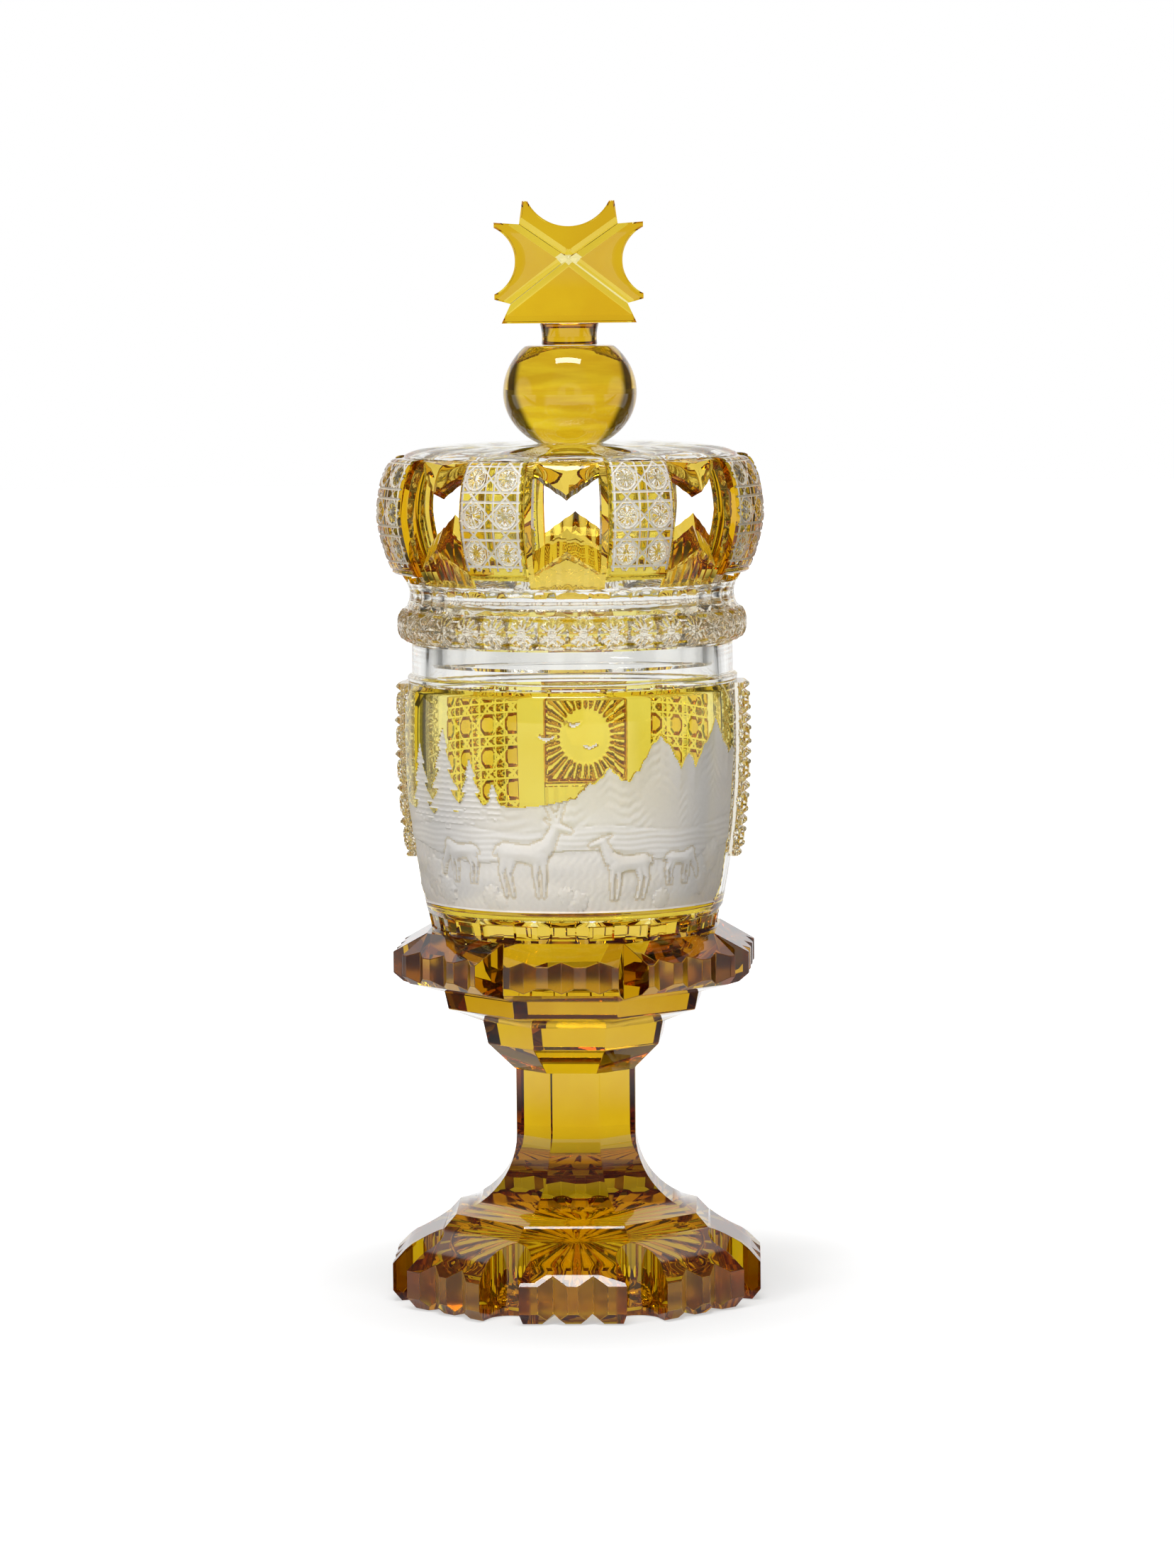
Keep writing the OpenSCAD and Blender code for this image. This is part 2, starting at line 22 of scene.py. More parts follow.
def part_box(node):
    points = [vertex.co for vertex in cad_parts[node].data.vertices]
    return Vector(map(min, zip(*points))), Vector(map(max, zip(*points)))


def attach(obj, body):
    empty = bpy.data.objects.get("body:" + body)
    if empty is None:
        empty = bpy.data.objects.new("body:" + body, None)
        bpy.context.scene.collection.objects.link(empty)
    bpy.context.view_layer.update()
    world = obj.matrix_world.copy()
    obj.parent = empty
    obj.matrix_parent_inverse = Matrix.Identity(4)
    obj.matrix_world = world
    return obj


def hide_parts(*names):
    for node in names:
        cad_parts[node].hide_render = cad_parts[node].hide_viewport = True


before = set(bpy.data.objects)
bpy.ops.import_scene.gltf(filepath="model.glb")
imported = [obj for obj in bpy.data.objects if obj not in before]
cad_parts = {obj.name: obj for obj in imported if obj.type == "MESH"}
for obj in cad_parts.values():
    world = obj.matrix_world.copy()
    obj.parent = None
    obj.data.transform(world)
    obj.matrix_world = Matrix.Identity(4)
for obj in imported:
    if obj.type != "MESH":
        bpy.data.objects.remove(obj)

LOG = logging.getLogger("goblet")
MM = 0.001
FULL_TURN = 360.0
LOBES = 8
LOBE_TURN = FULL_TURN / LOBES
FRONT = -90.0
BOWL_TURN = -4.5
COVER_TURN = -1.3
KNOP_SEAT_R = 10.6
MERGE = 0.001
CAD_MERGE = 0.002
CAD_FLAT_ANGLE = 0.4
LEVEL_GAP = 0.01
FACET_WEIGHT = 90
SCALLOP_STEPS = 6
WHITE = (1.0, 1.0, 1.0)
FADE = (1.0, 0.0)

Triple = tuple[float, float, float]
Span = tuple[float, float]
Array = np.ndarray
Mesh = bmesh.types.BMesh
Socket = bpy.types.NodeSocket
Outputs = bpy.types.NodeOutputs


class Skin(IntEnum):
    """Material slots of a glass piece."""

    CASED = 0
    CUT = 1
    WELD = 2
    EDGE = 3
    # Painted shade: the darker matt line round the engraved deer.
    PAINTED_SHADE = 4


class Body(Enum):
    """The two rigid bodies of the frame."""

    GOBLET = "goblet"
    COVER = "cover"


class Slot(Enum):
    """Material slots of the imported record."""

    AMBER = "amber_glass"
    CLEAR = "clear_glass"
    ENGRAVED = "engraved_glass"


# Finishes


class NodeMaker:
    """A short way to add and join shader nodes in one tree."""

    def __init__(self, tree: bpy.types.NodeTree) -> None:
        """Empties the tree and keeps it."""
        tree.nodes.clear()
        self.tree = tree

    def add(self, kind: str, **settings: object) -> bpy.types.Node:
        """Adds one node.

        Args:
            kind: Blender's node type name.
            settings: values of the node's own properties.

        Returns:
            The new node.
        """
        node = self.tree.nodes.new(kind)
        for key, value in settings.items():
            setattr(node, key, value)
        return node

    def join(self, source: Socket, target: Socket) -> None:
        """Links an output socket to an input socket."""
        self.tree.links.new(source, target)

    def feed(self, target: Socket, value: object) -> None:
        """Gives an input a link from a socket, or a plain value."""
        if isinstance(value, bpy.types.NodeSocket):
            self.join(value, target)
        else:
            target.default_value = value

    def math(self, operation: str, first: object, second: object = 0.0) -> Socket:
        """Returns the result of a Math node on sockets or numbers."""
        node = self.add("ShaderNodeMath", operation=operation)
        self.feed(node.inputs[0], first)
        self.feed(node.inputs[1], second)
        return node.outputs[0]

    def times(self, first: object, second: object) -> Socket:
        """Returns the product of two values."""
        return self.math("MULTIPLY", first, second)

    def larger(self, first: object, second: object) -> Socket:
        """Returns the larger of two values."""
        return self.math("MAXIMUM", first, second)

    def rest(self, value: Socket) -> Socket:
        """Returns 1 minus a value."""
        return self.math("SUBTRACT", 1.0, value)

    def vector(self, operation: str, first: Socket, second: Triple = (0.0, 0.0, 0.0)) -> Socket:
        """Returns the result of a Vector Math node on a socket and a fixed vector."""
        node = self.add("ShaderNodeVectorMath", operation=operation)
        self.join(first, node.inputs[0])
        node.inputs[1].default_value = second
        return node.outputs["Value" if operation == "LENGTH" else "Vector"]

    def split(self, vector: Socket) -> Outputs:
        """Returns a vector's three parts."""
        node = self.add("ShaderNodeSeparateXYZ")
        self.join(vector, node.inputs["Vector"])
        return node.outputs

    def ramp(self, value: Socket, span: Span, ends: Span = (0.0, 1.0)) -> Socket:
        """Adds a smooth Map Range node.

        Args:
            value: the socket to map.
            span: the two ends of the input range.
            ends: the result at each end.

        Returns:
            The mapped socket.
        """
        node = self.add("ShaderNodeMapRange", interpolation_type="SMOOTHSTEP")
        self.join(value, node.inputs["Value"])
        for key, number in zip(("From Min", "From Max", "To Min", "To Max"), (*span, *ends)):
            node.inputs[key].default_value = number
        return node.outputs["Result"]

    def blend(self, share: Socket, first: Triple, second: Triple) -> Socket:
        """Returns a mix of two colours, by the share of the second."""
        node = self.add("ShaderNodeMix", data_type="RGBA")
        self.join(share, node.inputs["Factor"])
        node.inputs[6].default_value = (*first, 1.0)
        node.inputs[7].default_value = (*second, 1.0)
        return node.outputs[2]

    def noise(self, place: Socket, scale: float, detail: float = 2.0) -> Socket:
        """Returns a noise value at a place."""
        node = self.add("ShaderNodeTexNoise", noise_dimensions="3D")
        node.inputs["Scale"].default_value = scale
        node.inputs["Detail"].default_value = detail
        self.join(place, node.inputs["Vector"])
        return node.outputs["Fac"]

    def bump(self, height: Socket, strength: float, distance: float) -> Socket:
        """Returns the normal of a surface with this relief, its distance in millimetres."""
        node = self.add("ShaderNodeBump")
        node.inputs["Strength"].default_value = strength
        node.inputs["Distance"].default_value = distance * MM
        self.join(height, node.inputs["Height"])
        return node.outputs["Normal"]

    def shade(self, kind: str, inputs: dict[str, object], **settings: object) -> Socket:
        """Adds a shader or a weight.

        Args:
            kind: Blender's node type name.
            inputs: what each of its inputs takes, a socket or a plain value.
            settings: values of the node's own properties.

        Returns:
            Its first output.
        """
        node = self.add(kind, **settings)
        for key, value in inputs.items():
            self.feed(node.inputs[key], value)
        return node.outputs[0]

    def mixed(self, share: object, first: Socket, second: Socket) -> Socket:
        """Returns a mix of two shaders, by the share of the second."""
        node = self.add("ShaderNodeMixShader")
        for socket, value in zip(node.inputs, (share, first, second)):
            self.feed(socket, value)
        return node.outputs[0]


def wired(name: str, wire: Callable[[NodeMaker], Socket]) -> bpy.types.Material:
    """Returns a material by its name, wired when it is first asked for.

    Args:
        name: the material's name.
        wire: adds the nodes and returns the surface's shader.

    Returns:
        The material.
    """
    made = bpy.data.materials.get(name)
    if made is None:
        made = bpy.data.materials.new(name)
        made.use_nodes = True
        kit = NodeMaker(made.node_tree)
        kit.join(wire(kit), kit.add("ShaderNodeOutputMaterial").inputs["Surface"])
    return made


@dataclass(frozen=True)
class Finish:
    """A finish of the object's surfaces."""

    name: str

    def material(self) -> bpy.types.Material:
        """Returns the finish as a Blender material, made once."""
        return wired(self.name, self.shader)

    def shader(self, kit: NodeMaker) -> Socket:
        """Returns the surface's shader; each kind of finish wires its own."""
        raise NotImplementedError


@dataclass(frozen=True)
class WeldFinish(Finish):
    """The skin between two welded pieces, which light doesn't notice."""

    def shader(self, kit: NodeMaker) -> Socket:
        """Wires a surface that lets all light through."""
        return kit.shade("ShaderNodeBsdfTransparent", {})


@dataclass(frozen=True)
class GlassFinish(Finish):
    """Polished glass whose colour lies in a thin layer on its surface.

    Attributes:
        stain: the colour that is left after light passes the layer once.
        cloud: how far the stain thins out in places.
        cloud_span: where the noise begins to thin the stain, and where it has done so.
        streak: how much flatter than wide the places lie.
        ripple: height of the ripple left by the polishing wheel.
        inward: share of the layer, to and fro, that light meets when it is reflected inside.
    """

    stain: Triple
    ior: float = 1.52
    cloud: float = 0.25
    cloud_scale: float = 45.0
    cloud_detail: float = 3.0
    cloud_span: Span = (0.35, 0.7)
    streak: float = 1.0
    ripple: float = 0.004
    ripple_scale: float = 140.0
    ripple_strength: float = 0.25
    inward: float = 1.6
    rough: float = 0.0

    def shader(self, kit: NodeMaker) -> Socket:
        """Wires a stained refraction, and a reflection that is stained from within."""
        place = kit.add("ShaderNodeTexCoord").outputs["Object"]
        place = kit.vector("MULTIPLY", place, (1.0, 1.0, self.streak))
        thinner = tuple(c + (1.0 - c) * self.cloud * c for c in self.stain)
        thinned = kit.ramp(kit.noise(place, self.cloud_scale, self.cloud_detail), self.cloud_span)
        tint = kit.blend(thinned, self.stain, thinner)
        normal = kit.bump(kit.noise(place, self.ripple_scale), self.ripple_strength, self.ripple)
        inside = kit.add("ShaderNodeNewGeometry").outputs["Backfacing"]
        sheen = kit.blend(inside, WHITE, tuple(c**self.inward for c in self.stain))
        bend = kit.shade(
            "ShaderNodeBsdfRefraction",
            {"Color": tint, "Normal": normal, "Roughness": self.rough, "IOR": self.ior},
            distribution="GGX",
        )
        gloss = kit.shade(
            "ShaderNodeBsdfGlossy",
            {"Color": sheen, "Normal": normal, "Roughness": self.rough},
            distribution="GGX",
        )
        edge = kit.shade("ShaderNodeFresnel", {"IOR": self.ior, "Normal": normal})
        return kit.mixed(edge, bend, gloss)


@dataclass(frozen=True)
class MattFinish(Finish):
    """Matt engraved glass: it scatters the light that comes through it.

    Attributes:
        tone: colour of the scattered light.
        veil: share of light that is scattered back.
        ior: refractive index, lower than the glass's because the grain spreads the light.
        grain: how close the grain lies.
        grain_shade: how much of the tone its hollows keep.
    """

    tone: Triple
    roughness: float = 0.55
    veil: float = 0.64
    ior: float = 1.3
    grain: float = 900.0
    grain_height: float = 0.05
    grain_strength: float = 0.35
    grain_shade: float = 0.93

    def shader(self, kit: NodeMaker) -> Socket:
        """Wires a rough refraction under a matt veil."""
        grain = kit.noise(kit.add("ShaderNodeTexCoord").outputs["Object"], self.grain)
        normal = kit.bump(grain, self.grain_strength, self.grain_height)
        tint = kit.blend(grain, tuple(c * self.grain_shade for c in self.tone), self.tone)
        surface = {"Color": tint, "Normal": normal}
        through = {"Roughness": self.roughness, "IOR": self.ior}
        bend = kit.shade("ShaderNodeBsdfRefraction", surface | through, distribution="GGX")
        return kit.mixed(self.veil, bend, kit.shade("ShaderNodeBsdfDiffuse", surface))


AMBER = GlassFinish("stained_amber", (0.82, 0.635, 0.07))
WARM_AMBER = GlassFinish("warm_amber", (0.84, 0.60, 0.08))
THIN_AMBER = GlassFinish("thin_amber", (0.975, 0.92, 0.60))
# Painted shade: a darker copy of the amber for the calyx's middle tier and flange.
PAINTED_SHADE_AMBER = GlassFinish("amber_painted_shade", (0.75, 0.55, 0.06))
BAND_AMBER = GlassFinish("foot_band_amber", (0.89, 0.74, 0.22))
CASING = GlassFinish("amber_casing_layer", (0.955, 0.85, 0.26))
KNOP_AMBER = GlassFinish("streaky_amber", (0.775, 0.585, 0.085), cloud=0.85, streak=6.0, ripple=0.012)
GROUND = GlassFinish("ground_amber", (0.80, 0.60, 0.07), rough=0.18)
SATIN_AMBER = GlassFinish("satin_amber", (0.77, 0.565, 0.06), rough=0.30)
# Painted shade: a darker copy of the satin amber for the flange's teeth.
PAINTED_SHADE_SATIN = GlassFinish("satin_amber_painted_shade", (0.66, 0.44, 0.04), rough=0.20)
FINE_CUT = GlassFinish("fine_cut_crystal", (0.97, 0.95, 0.90), cloud=0.0, rough=0.06)
CLEAR = GlassFinish("plain_crystal", (0.985, 0.985, 0.98), cloud=0.0)
# Painted shade: a darker amber for the sunburst's deep rays and edging, and for the lattice's cells between
# the cut lines.
SHADED_CUT_AMBER = GlassFinish("casing_painted_shade", (0.88, 0.64, 0.10))
MATT = MattFinish("matt_engraving", (0.97, 0.945, 0.915))
# Painted shade: a darker matt tone for the line round the deer, as shade in the moat that the engraving cuts
# there.
PAINTED_SHADE_MATT = MattFinish("engraving_painted_shade", (0.87, 0.80, 0.68))
# Painted highlight: the straps' polished cut lines are drawn as matt white, in place of the light they
# refract.
PAINTED_HIGHLIGHT_LINE = MattFinish("cut_lines_painted_highlight", (0.97, 0.95, 0.90), roughness=0.25, veil=0.55)
WELD = WeldFinish("weld_skin")

# One finish per Skin
Finishes = tuple[Finish, ...]
ALL_AMBER: Finishes = (AMBER, CLEAR, WELD)
CROSS_AMBER: Finishes = (AMBER, THIN_AMBER, WELD)
CALYX_AMBER: Finishes = (PAINTED_SHADE_AMBER, CLEAR, WELD, PAINTED_SHADE_SATIN)
FOOT_AMBER: Finishes = (AMBER, GROUND, WELD, SATIN_AMBER)
ARCADE_AMBER: Finishes = (WARM_AMBER, CLEAR, WELD)
ROUND_AMBER: Finishes = (KNOP_AMBER, CLEAR, WELD)
ALL_CLEAR: Finishes = (CLEAR, CLEAR, WELD)
BOWL_FINISH: Finishes = (CASING, CLEAR, WELD, BAND_AMBER)
RICH_CUT: Finishes = (AMBER, FINE_CUT, WELD, FINE_CUT)
# The straps' cut lines carry the painted highlight.
STRAP_CUT: Finishes = (AMBER, FINE_CUT, WELD, PAINTED_HIGHLIGHT_LINE)
BACK_CUT: Finishes = (CASING, FINE_CUT, WELD, SHADED_CUT_AMBER)
CASED_MATT: Finishes = (CASING, MATT, WELD, AMBER, PAINTED_SHADE_MATT)


# Meshes


def heights_of(node: str) -> Span:
    """Returns the heights of a frame node's lower and upper end, in millimetres."""
    low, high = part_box(node)
    return low.z / MM, high.z / MM


def unit(values: Array) -> Array:
    """Returns values kept between 0 and 1."""
    return np.clip(values, 0.0, 1.0)


def polar(radius: Array, angle: Array, height: Array) -> Array:
    """Turns cylinder coordinates into points.

    Args:
        radius: distance from the axis, in millimetres.
        angle: in degrees, 0 towards +X.
        height: above the resting plane, in millimetres.

    Returns:
        Points in metres, one more axis than the inputs.
    """
    radius, angle, height = np.broadcast_arrays(radius, np.radians(angle), height)
    return np.stack([radius * np.cos(angle), radius * np.sin(angle), height], axis=-1) * MM


def cells(index: Array) -> Array:
    """Returns the four corners of every cell of a grid of vertex numbers."""
    return np.stack([index[:-1, :-1], index[1:, :-1], index[1:, 1:], index[:-1, 1:]], axis=-1)


def middles(values: Array) -> Array:
    """Returns the values at the middles of a grid's cells."""
    return cells(values).sum(axis=-1) / 4.0


def flat_grid(width: float, height: float, columns: int, rows: int) -> list[Array]:
    """Returns the places across, from the middle, and along, from the lower end, of a flat grid."""
    across = np.linspace(-width / 2, width / 2, columns)
    return np.meshgrid(across, np.linspace(0.0, height, rows), indexing="ij")


def mesh_of(points: Array, faces: Array, skins: Array) -> Mesh:
    """Makes a mesh and joins the points that coincide.

    Args:
        points: vertices in metres.
        faces: four vertex numbers per face.
        skins: one Skin per face.

    Returns:
        The mesh.
    """
    data = bpy.data.meshes.new("draft")
    data.from_pydata(points.reshape(-1, 3), [], faces.reshape(-1, 4).tolist())
    data.polygons.foreach_set("material_index", skins.astype(np.int32).ravel())
    bm = bmesh.new()
    bm.from_mesh(data)
    bpy.data.meshes.remove(data)
    bmesh.ops.remove_doubles(bm, verts=bm.verts, dist=MERGE * MM)
    return bm


def ring_mesh(points: Array, skins: Array) -> Mesh:
    """Joins profiles set round the axis into one ring.

    Args:
        points: grid of points, first axis round the axis, second along the profile.
        skins: one Skin per cell; its second axis has one entry less than the profile.

    Returns:
        The mesh, open along the profile's two ends.
    """
    turns, steps = points.shape[:2]
    index = np.arange(turns * steps).reshape(turns, steps)
    index = np.vstack([index, index[:1]])
    return mesh_of(points, cells(index), np.broadcast_to(skins, (turns, steps - 1)))


def sheet_mesh(outer: Array, inner: Array, skins: Array, wall: Skin = Skin.CASED) -> Mesh:
    """Makes a raised panel: a worked face, four walls and a weld face behind.

    Args:
        outer: grid of points of the worked face.
        inner: grid of points behind it.
        skins: one Skin per cell of the worked face.
        wall: skin of the walls.

    Returns:
        The closed mesh.
    """
    count = outer.shape[0] * outer.shape[1]
    front = np.arange(count).reshape(outer.shape[:2])
    back = front + count
    borders = (np.s_[0], np.s_[-1], np.s_[:, 0], np.s_[:, -1])
    walls = np.concatenate([cells(np.stack([front[s], back[s]], axis=1)).reshape(-1, 4) for s in borders])
    faces = np.concatenate([cells(front).reshape(-1, 4), cells(back).reshape(-1, 4), walls])
    kinds = np.concatenate([skins.ravel(), np.full(skins.size, Skin.WELD), np.full(len(walls), wall)])
    return mesh_of(np.concatenate([outer.reshape(-1, 3), inner.reshape(-1, 3)]), faces, kinds)


def raised(face_r: Array, back_r: Array, depth: Array, angles: Array, heights: Array) -> tuple[Array, Array]:
    """Lays out a raised panel.

    Args:
        face_r: radius of its uncut face, one per row.
        back_r: radius of the face behind it.
        depth: how far the face is cut back, one row of the grid per angle.
        angles: of its columns.
        heights: of its rows.

    Returns:
        The points of the worked face and of the face behind it.
    """
    turns = angles[:, None]
    return polar(face_r - depth, turns, heights), polar(np.broadcast_to(back_r, depth.shape), turns, heights)


def cad_mesh(node: str) -> Mesh:
    """Returns a copy of a frame node's mesh with its flat faces made whole."""
    bm = bmesh.new()
    bm.from_mesh(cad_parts[node].data)
    bmesh.ops.remove_doubles(bm, verts=bm.verts, dist=CAD_MERGE * MM)
    angle = math.radians(CAD_FLAT_ANGLE)
    bmesh.ops.dissolve_limit(bm, angle_limit=angle, verts=bm.verts, edges=bm.edges)
    for face in bm.faces:
        face.material_index = Skin.CASED
    return bm


def on_level(face: bmesh.types.BMFace, height: float) -> bool:
    """Says whether a face lies in the level plane at this height, in millimetres."""
    return all(abs(v.co.z - height * MM) < LEVEL_GAP * MM for v in face.verts)


def soften(bm: Mesh, width: float, levels: Sequence[float], least: float = 22.0) -> None:
    """Rounds the edges that a cutting wheel leaves, apart from those in a weld plane.

    Args:
        bm: the mesh to change.
        width: width of the rounding, in millimetres.
        levels: heights of the weld planes, in millimetres.
        least: the smallest angle between faces that counts as an edge, in degrees.
    """
    picked = []
    for edge in bm.edges:
        if len(edge.link_faces) != 2 or edge.calc_face_angle(0.0) < math.radians(least):
            continue
        if any(on_level(face, z) for face in edge.link_faces for z in levels):
            continue
        picked.append(edge)
    rounding = {"offset": width * MM, "segments": 2, "profile": 0.5, "clamp_overlap": True}
    bmesh.ops.bevel(bm, geom=picked, affect="EDGES", **rounding)


def is_tooth(face: bmesh.types.BMFace, beyond: float, upright: float = 0.5) -> bool:
    """Says whether a face is one of the upright faces at the end of a lobe.

    Faces nearer the axis keep the normals they have, because soften() reads them later.

    Args:
        face: the face to judge.
        beyond: distance from the axis past which the teeth lie, in millimetres.
        upright: how far its normal may rise, and how far it has to point outward.

    Returns:
        True for a tooth's face.
    """
    outward = face.calc_center_median().xy
    if outward.length < beyond * MM:
        return False
    face.normal_update()
    return abs(face.normal.z) < upright and face.normal.xy.dot(outward.normalized()) > upright


def weld_levels(bm: Mesh, levels: Sequence[float]) -> None:
    """Gives the weld skin to the faces in the level planes at these heights, in millimetres."""
    for face in bm.faces:
        if any(on_level(face, z) for z in levels):
            face.material_index = Skin.WELD


def refill_level(bm: Mesh, height: float, radius: float, steps: int) -> list[bmesh.types.BMVert]:
    """Opens a round hole in the level face at a height.

    Args:
        bm: the mesh to change.
        height: of the face, in millimetres.
        radius: of the hole, in millimetres.
        steps: points of the hole's edge.

    Returns:
        The points of the hole's edge, in order.
    """
    bmesh.ops.delete(bm, geom=[f for f in bm.faces if on_level(f, height)], context="FACES")
    border = [e for e in bm.edges if e.is_boundary]
    angles = np.arange(steps) * FULL_TURN / steps
    ring = [bm.verts.new(p) for p in polar(radius, angles, height)]
    hole = [bm.edges.new((ring[i], ring[(i + 1) % steps])) for i in range(steps)]
    bmesh.ops.triangle_fill(bm, edges=border + hole, use_beauty=True, use_dissolve=False)
    return ring


def place_piece(
    node: str, bm: Mesh, finishes: Finishes, body: Body, name: str = "", sharp: float = 28.0
) -> None:
    """Turns a mesh into the piece that stands for a frame node.

    Args:
        node: the frame node.
        bm: the piece's closed mesh, freed here.
        finishes: one finish per Skin.
        body: the body it moves with.
        name: the piece's name, where it isn't made from the node's.
        sharp: the smallest angle that shows as an edge, in degrees.
    """
    name = name or f"{node}_glass"
    bmesh.ops.recalc_face_normals(bm, faces=bm.faces)
    data = bpy.data.meshes.new(name)
    bm.to_mesh(data)
    bm.free()
    for finish in finishes:
        data.materials.append(finish.material())
    data.shade_smooth()
    data.set_sharp_from_angle(angle=math.radians(sharp))
    piece = bpy.data.objects.new(name, data)
    bpy.context.scene.collection.objects.link(piece)
    flat = piece.modifiers.new("flat_facets", "WEIGHTED_NORMAL")
    flat.keep_sharp = True
    flat.weight = FACET_WEIGHT
    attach(piece, body.value)
    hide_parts(node)
    LOG.info("%s: %d faces", name, len(data.polygons))


def spin(node: str, loop: Array, welds: Sequence[int], finishes: Finishes, step: float) -> None:
    """Turns a profile into a round piece of the cover.

    Args:
        node: the frame node.
        loop: radii and heights along the profile.
        welds: numbers of the profile's steps that carry weld skin.
        finishes: one finish per Skin.
        step: angle between two profiles.
    """
    turns = np.arange(0.0, FULL_TURN, step)
    skins = np.full(len(loop) - 1, Skin.CASED)
    skins[list(welds)] = Skin.WELD
    points = polar(loop[:, 0], turns[:, None], loop[:, 1])
    place_piece(node, ring_mesh(points, skins), finishes, Body.COVER)


# Cutting


def groove(distance: Array, half: float, depth: float, flat: float = 0.0) -> Array:
    """Returns the depth of a mitre groove, with or without a flat bottom, at a distance from its line."""
    return unit((half - np.abs(distance)) / (half - flat)) * depth


def bevelled(depth: Array, edge: Array, width: float, drop: float) -> Array:
    """Returns a panel's depth with a bevel of this width and drop, by the distance to its edge."""
    return np.maximum(depth, unit(1.0 - edge / width) * drop)


def to_line(value: Array, spacing: float, offset: float = 0.0) -> Array:
    """Returns the signed distance to the nearest of evenly spaced lines."""
    return (value - offset + spacing / 2) % spacing - spacing / 2


def fan(across: Array, along: Array, rays: int) -> Array:
    """Returns 0 on each ray of a fan and 1 midway between two."""
    return np.abs(to_line(np.arctan2(along, across) / (2 * math.pi) * rays, 1.0)) * 2.0


def scalloped(count: int) -> tuple[Array, Array]:
    """Returns angles round the axis, and 0 to 1 for the hollows of a row of scallops there."""
    turns = np.arange(0.0, FULL_TURN, FULL_TURN / (count * SCALLOP_STEPS))
    return turns, 1.0 - np.abs(np.cos(np.radians(turns * count / 2.0)))


@dataclass(frozen=True)
class CaneCut:
    """The cane pattern: paired lines across and along, diagonals, and round rosettes.

    Attributes:
        period: size of one repeat across.
        rise: size of one repeat along.
        pair: half the distance between paired lines, as a share of the repeat.
        line: half width of a groove, as a share of the repeat.
        rosette: radius of a rosette, as a share of the repeat; 0 for none.
        heart: depth of a rosette's middle, as a share of the grooves' depth.
        ray_depth: how much deeper its rays are cut at their ends, as a share of the same.
        ring: half width of the groove round it, as a share of the repeat.
        flat: half width of a groove's flat bottom, as a share of the repeat.
        bright: share of the depth past which a line without rosettes shows bright.
        least: depth past which a line between rosettes shows bright.
    """

    period: float
    rise: float
    pair: float = 0.13
    line: float = 0.075
    depth: float = 0.8
    rosette: float = 0.27
    rays: int = 10
    heart: float = 0.12
    ray_depth: float = 0.75
    ring: float = 0.05
    flat: float = 0.03
    bright: float = 0.3
    least: float = 0.02

    def carve(self, across: Array, along: Array) -> tuple[Array, Array]:
        """Works out the cut at points of the panel.

        Args:
            across: distance from the panel's middle line, in millimetres.
            along: distance from the panel's lower end, in millimetres.

        Returns:
            The depth in millimetres, and the skin.
        """
        u, v = across / self.period, along / self.rise
        lines = [to_line(way, 1.0, side * self.pair) for way in (v, u) for side in (-1, 1)]
        lines += [to_line(way, 1.0, 0.5) / math.sqrt(2) for way in (u - v, u + v)]
        cut = np.max([groove(d, self.line, self.depth, self.flat) for d in lines], axis=0)
        if self.rosette <= 0.0:
            # Painted shade: the cells between the cut lines take the EDGE skin, which the back panels give a
            # darker amber.
            return cut, np.where(cut > self.bright * self.depth, Skin.CASED, Skin.EDGE)
        du, dv = to_line(u, 1.0, 0.5), to_line(v, 1.0, 0.5)
        radius = np.hypot(du, dv)
        inside = radius < self.rosette
        rays = self.ray_depth * (1.0 - fan(du, dv, self.rays)) * unit(radius / self.rosette)
        rim = groove(radius - self.rosette, self.ring, self.depth)
        cut = np.maximum(np.where(inside, self.depth * (self.heart + rays), cut), rim)
        return cut, np.where(inside, Skin.CUT, np.where(cut > self.least, Skin.EDGE, Skin.CASED))


@dataclass(frozen=True)
class SunCut:
    """A sunburst: a plain disc in a square of rays, with upright flutes below.

    Attributes:
        middle: height of the disc's middle above the panel's lower end.
        half: half the width of the burst, and its reach below the disc's middle.
        top: height of the burst's upper end above the panel's lower end.
        ray_width: width of a ray, as a share of the distance between two.
        ray_run: length over which a ray runs out at the disc.
        flute: width of a flute below the square.
        flute_depth: its depth, as a share of the grooves' depth.
        flute_gap: distance of the flutes from the square.
        flute_low: height of their lower end.
        edging: half width of the line round the square.
        dark: share of the depth past which a ray takes the darker amber skin, painted shade.
    """

    middle: float = 34.0
    disc: float = 8.8
    half: float = 15.2
    top: float = 55.5
    rays: int = 32
    ray_width: float = 0.7
    ray_run: float = 2.0
    depth: float = 1.7
    flute: float = 4.0
    flute_depth: float = 0.8
    flute_gap: float = 1.6
    flute_low: float = 2.0
    edging: float = 0.8
    dark: float = 0.35

    def carve(self, across: Array, along: Array) -> tuple[Array, Array]:
        """Works out the cut at points of the panel, as CaneCut does."""
        up = along - self.middle
        rays = unit(1.0 - fan(across, up, self.rays) / self.ray_width)
        burst = self.depth * rays * unit((np.hypot(across, up) - self.disc) / self.ray_run)
        from_square = np.maximum(np.maximum(np.abs(across), -up) - self.half, along - self.top)
        in_square = from_square < 0.0
        ridge = np.abs(to_line(across, self.flute)) / self.flute * 2.0
        flutes = self.depth * self.flute_depth * (1.0 - ridge)
        below = (up < -self.half - self.flute_gap) & (along > self.flute_low) & (np.abs(across) < self.half)
        cut = np.where(in_square, burst, np.where(below, flutes, 0.0))
        edging = groove(from_square, self.edging, self.depth)
        # Painted shade: the deep part of each ray and the line round the square take the darker amber.
        deep = (edging > 0.0) | (in_square & (burst > self.dark * self.depth))
        return np.maximum(cut, edging), np.where(deep, Skin.EDGE, Skin.CASED)


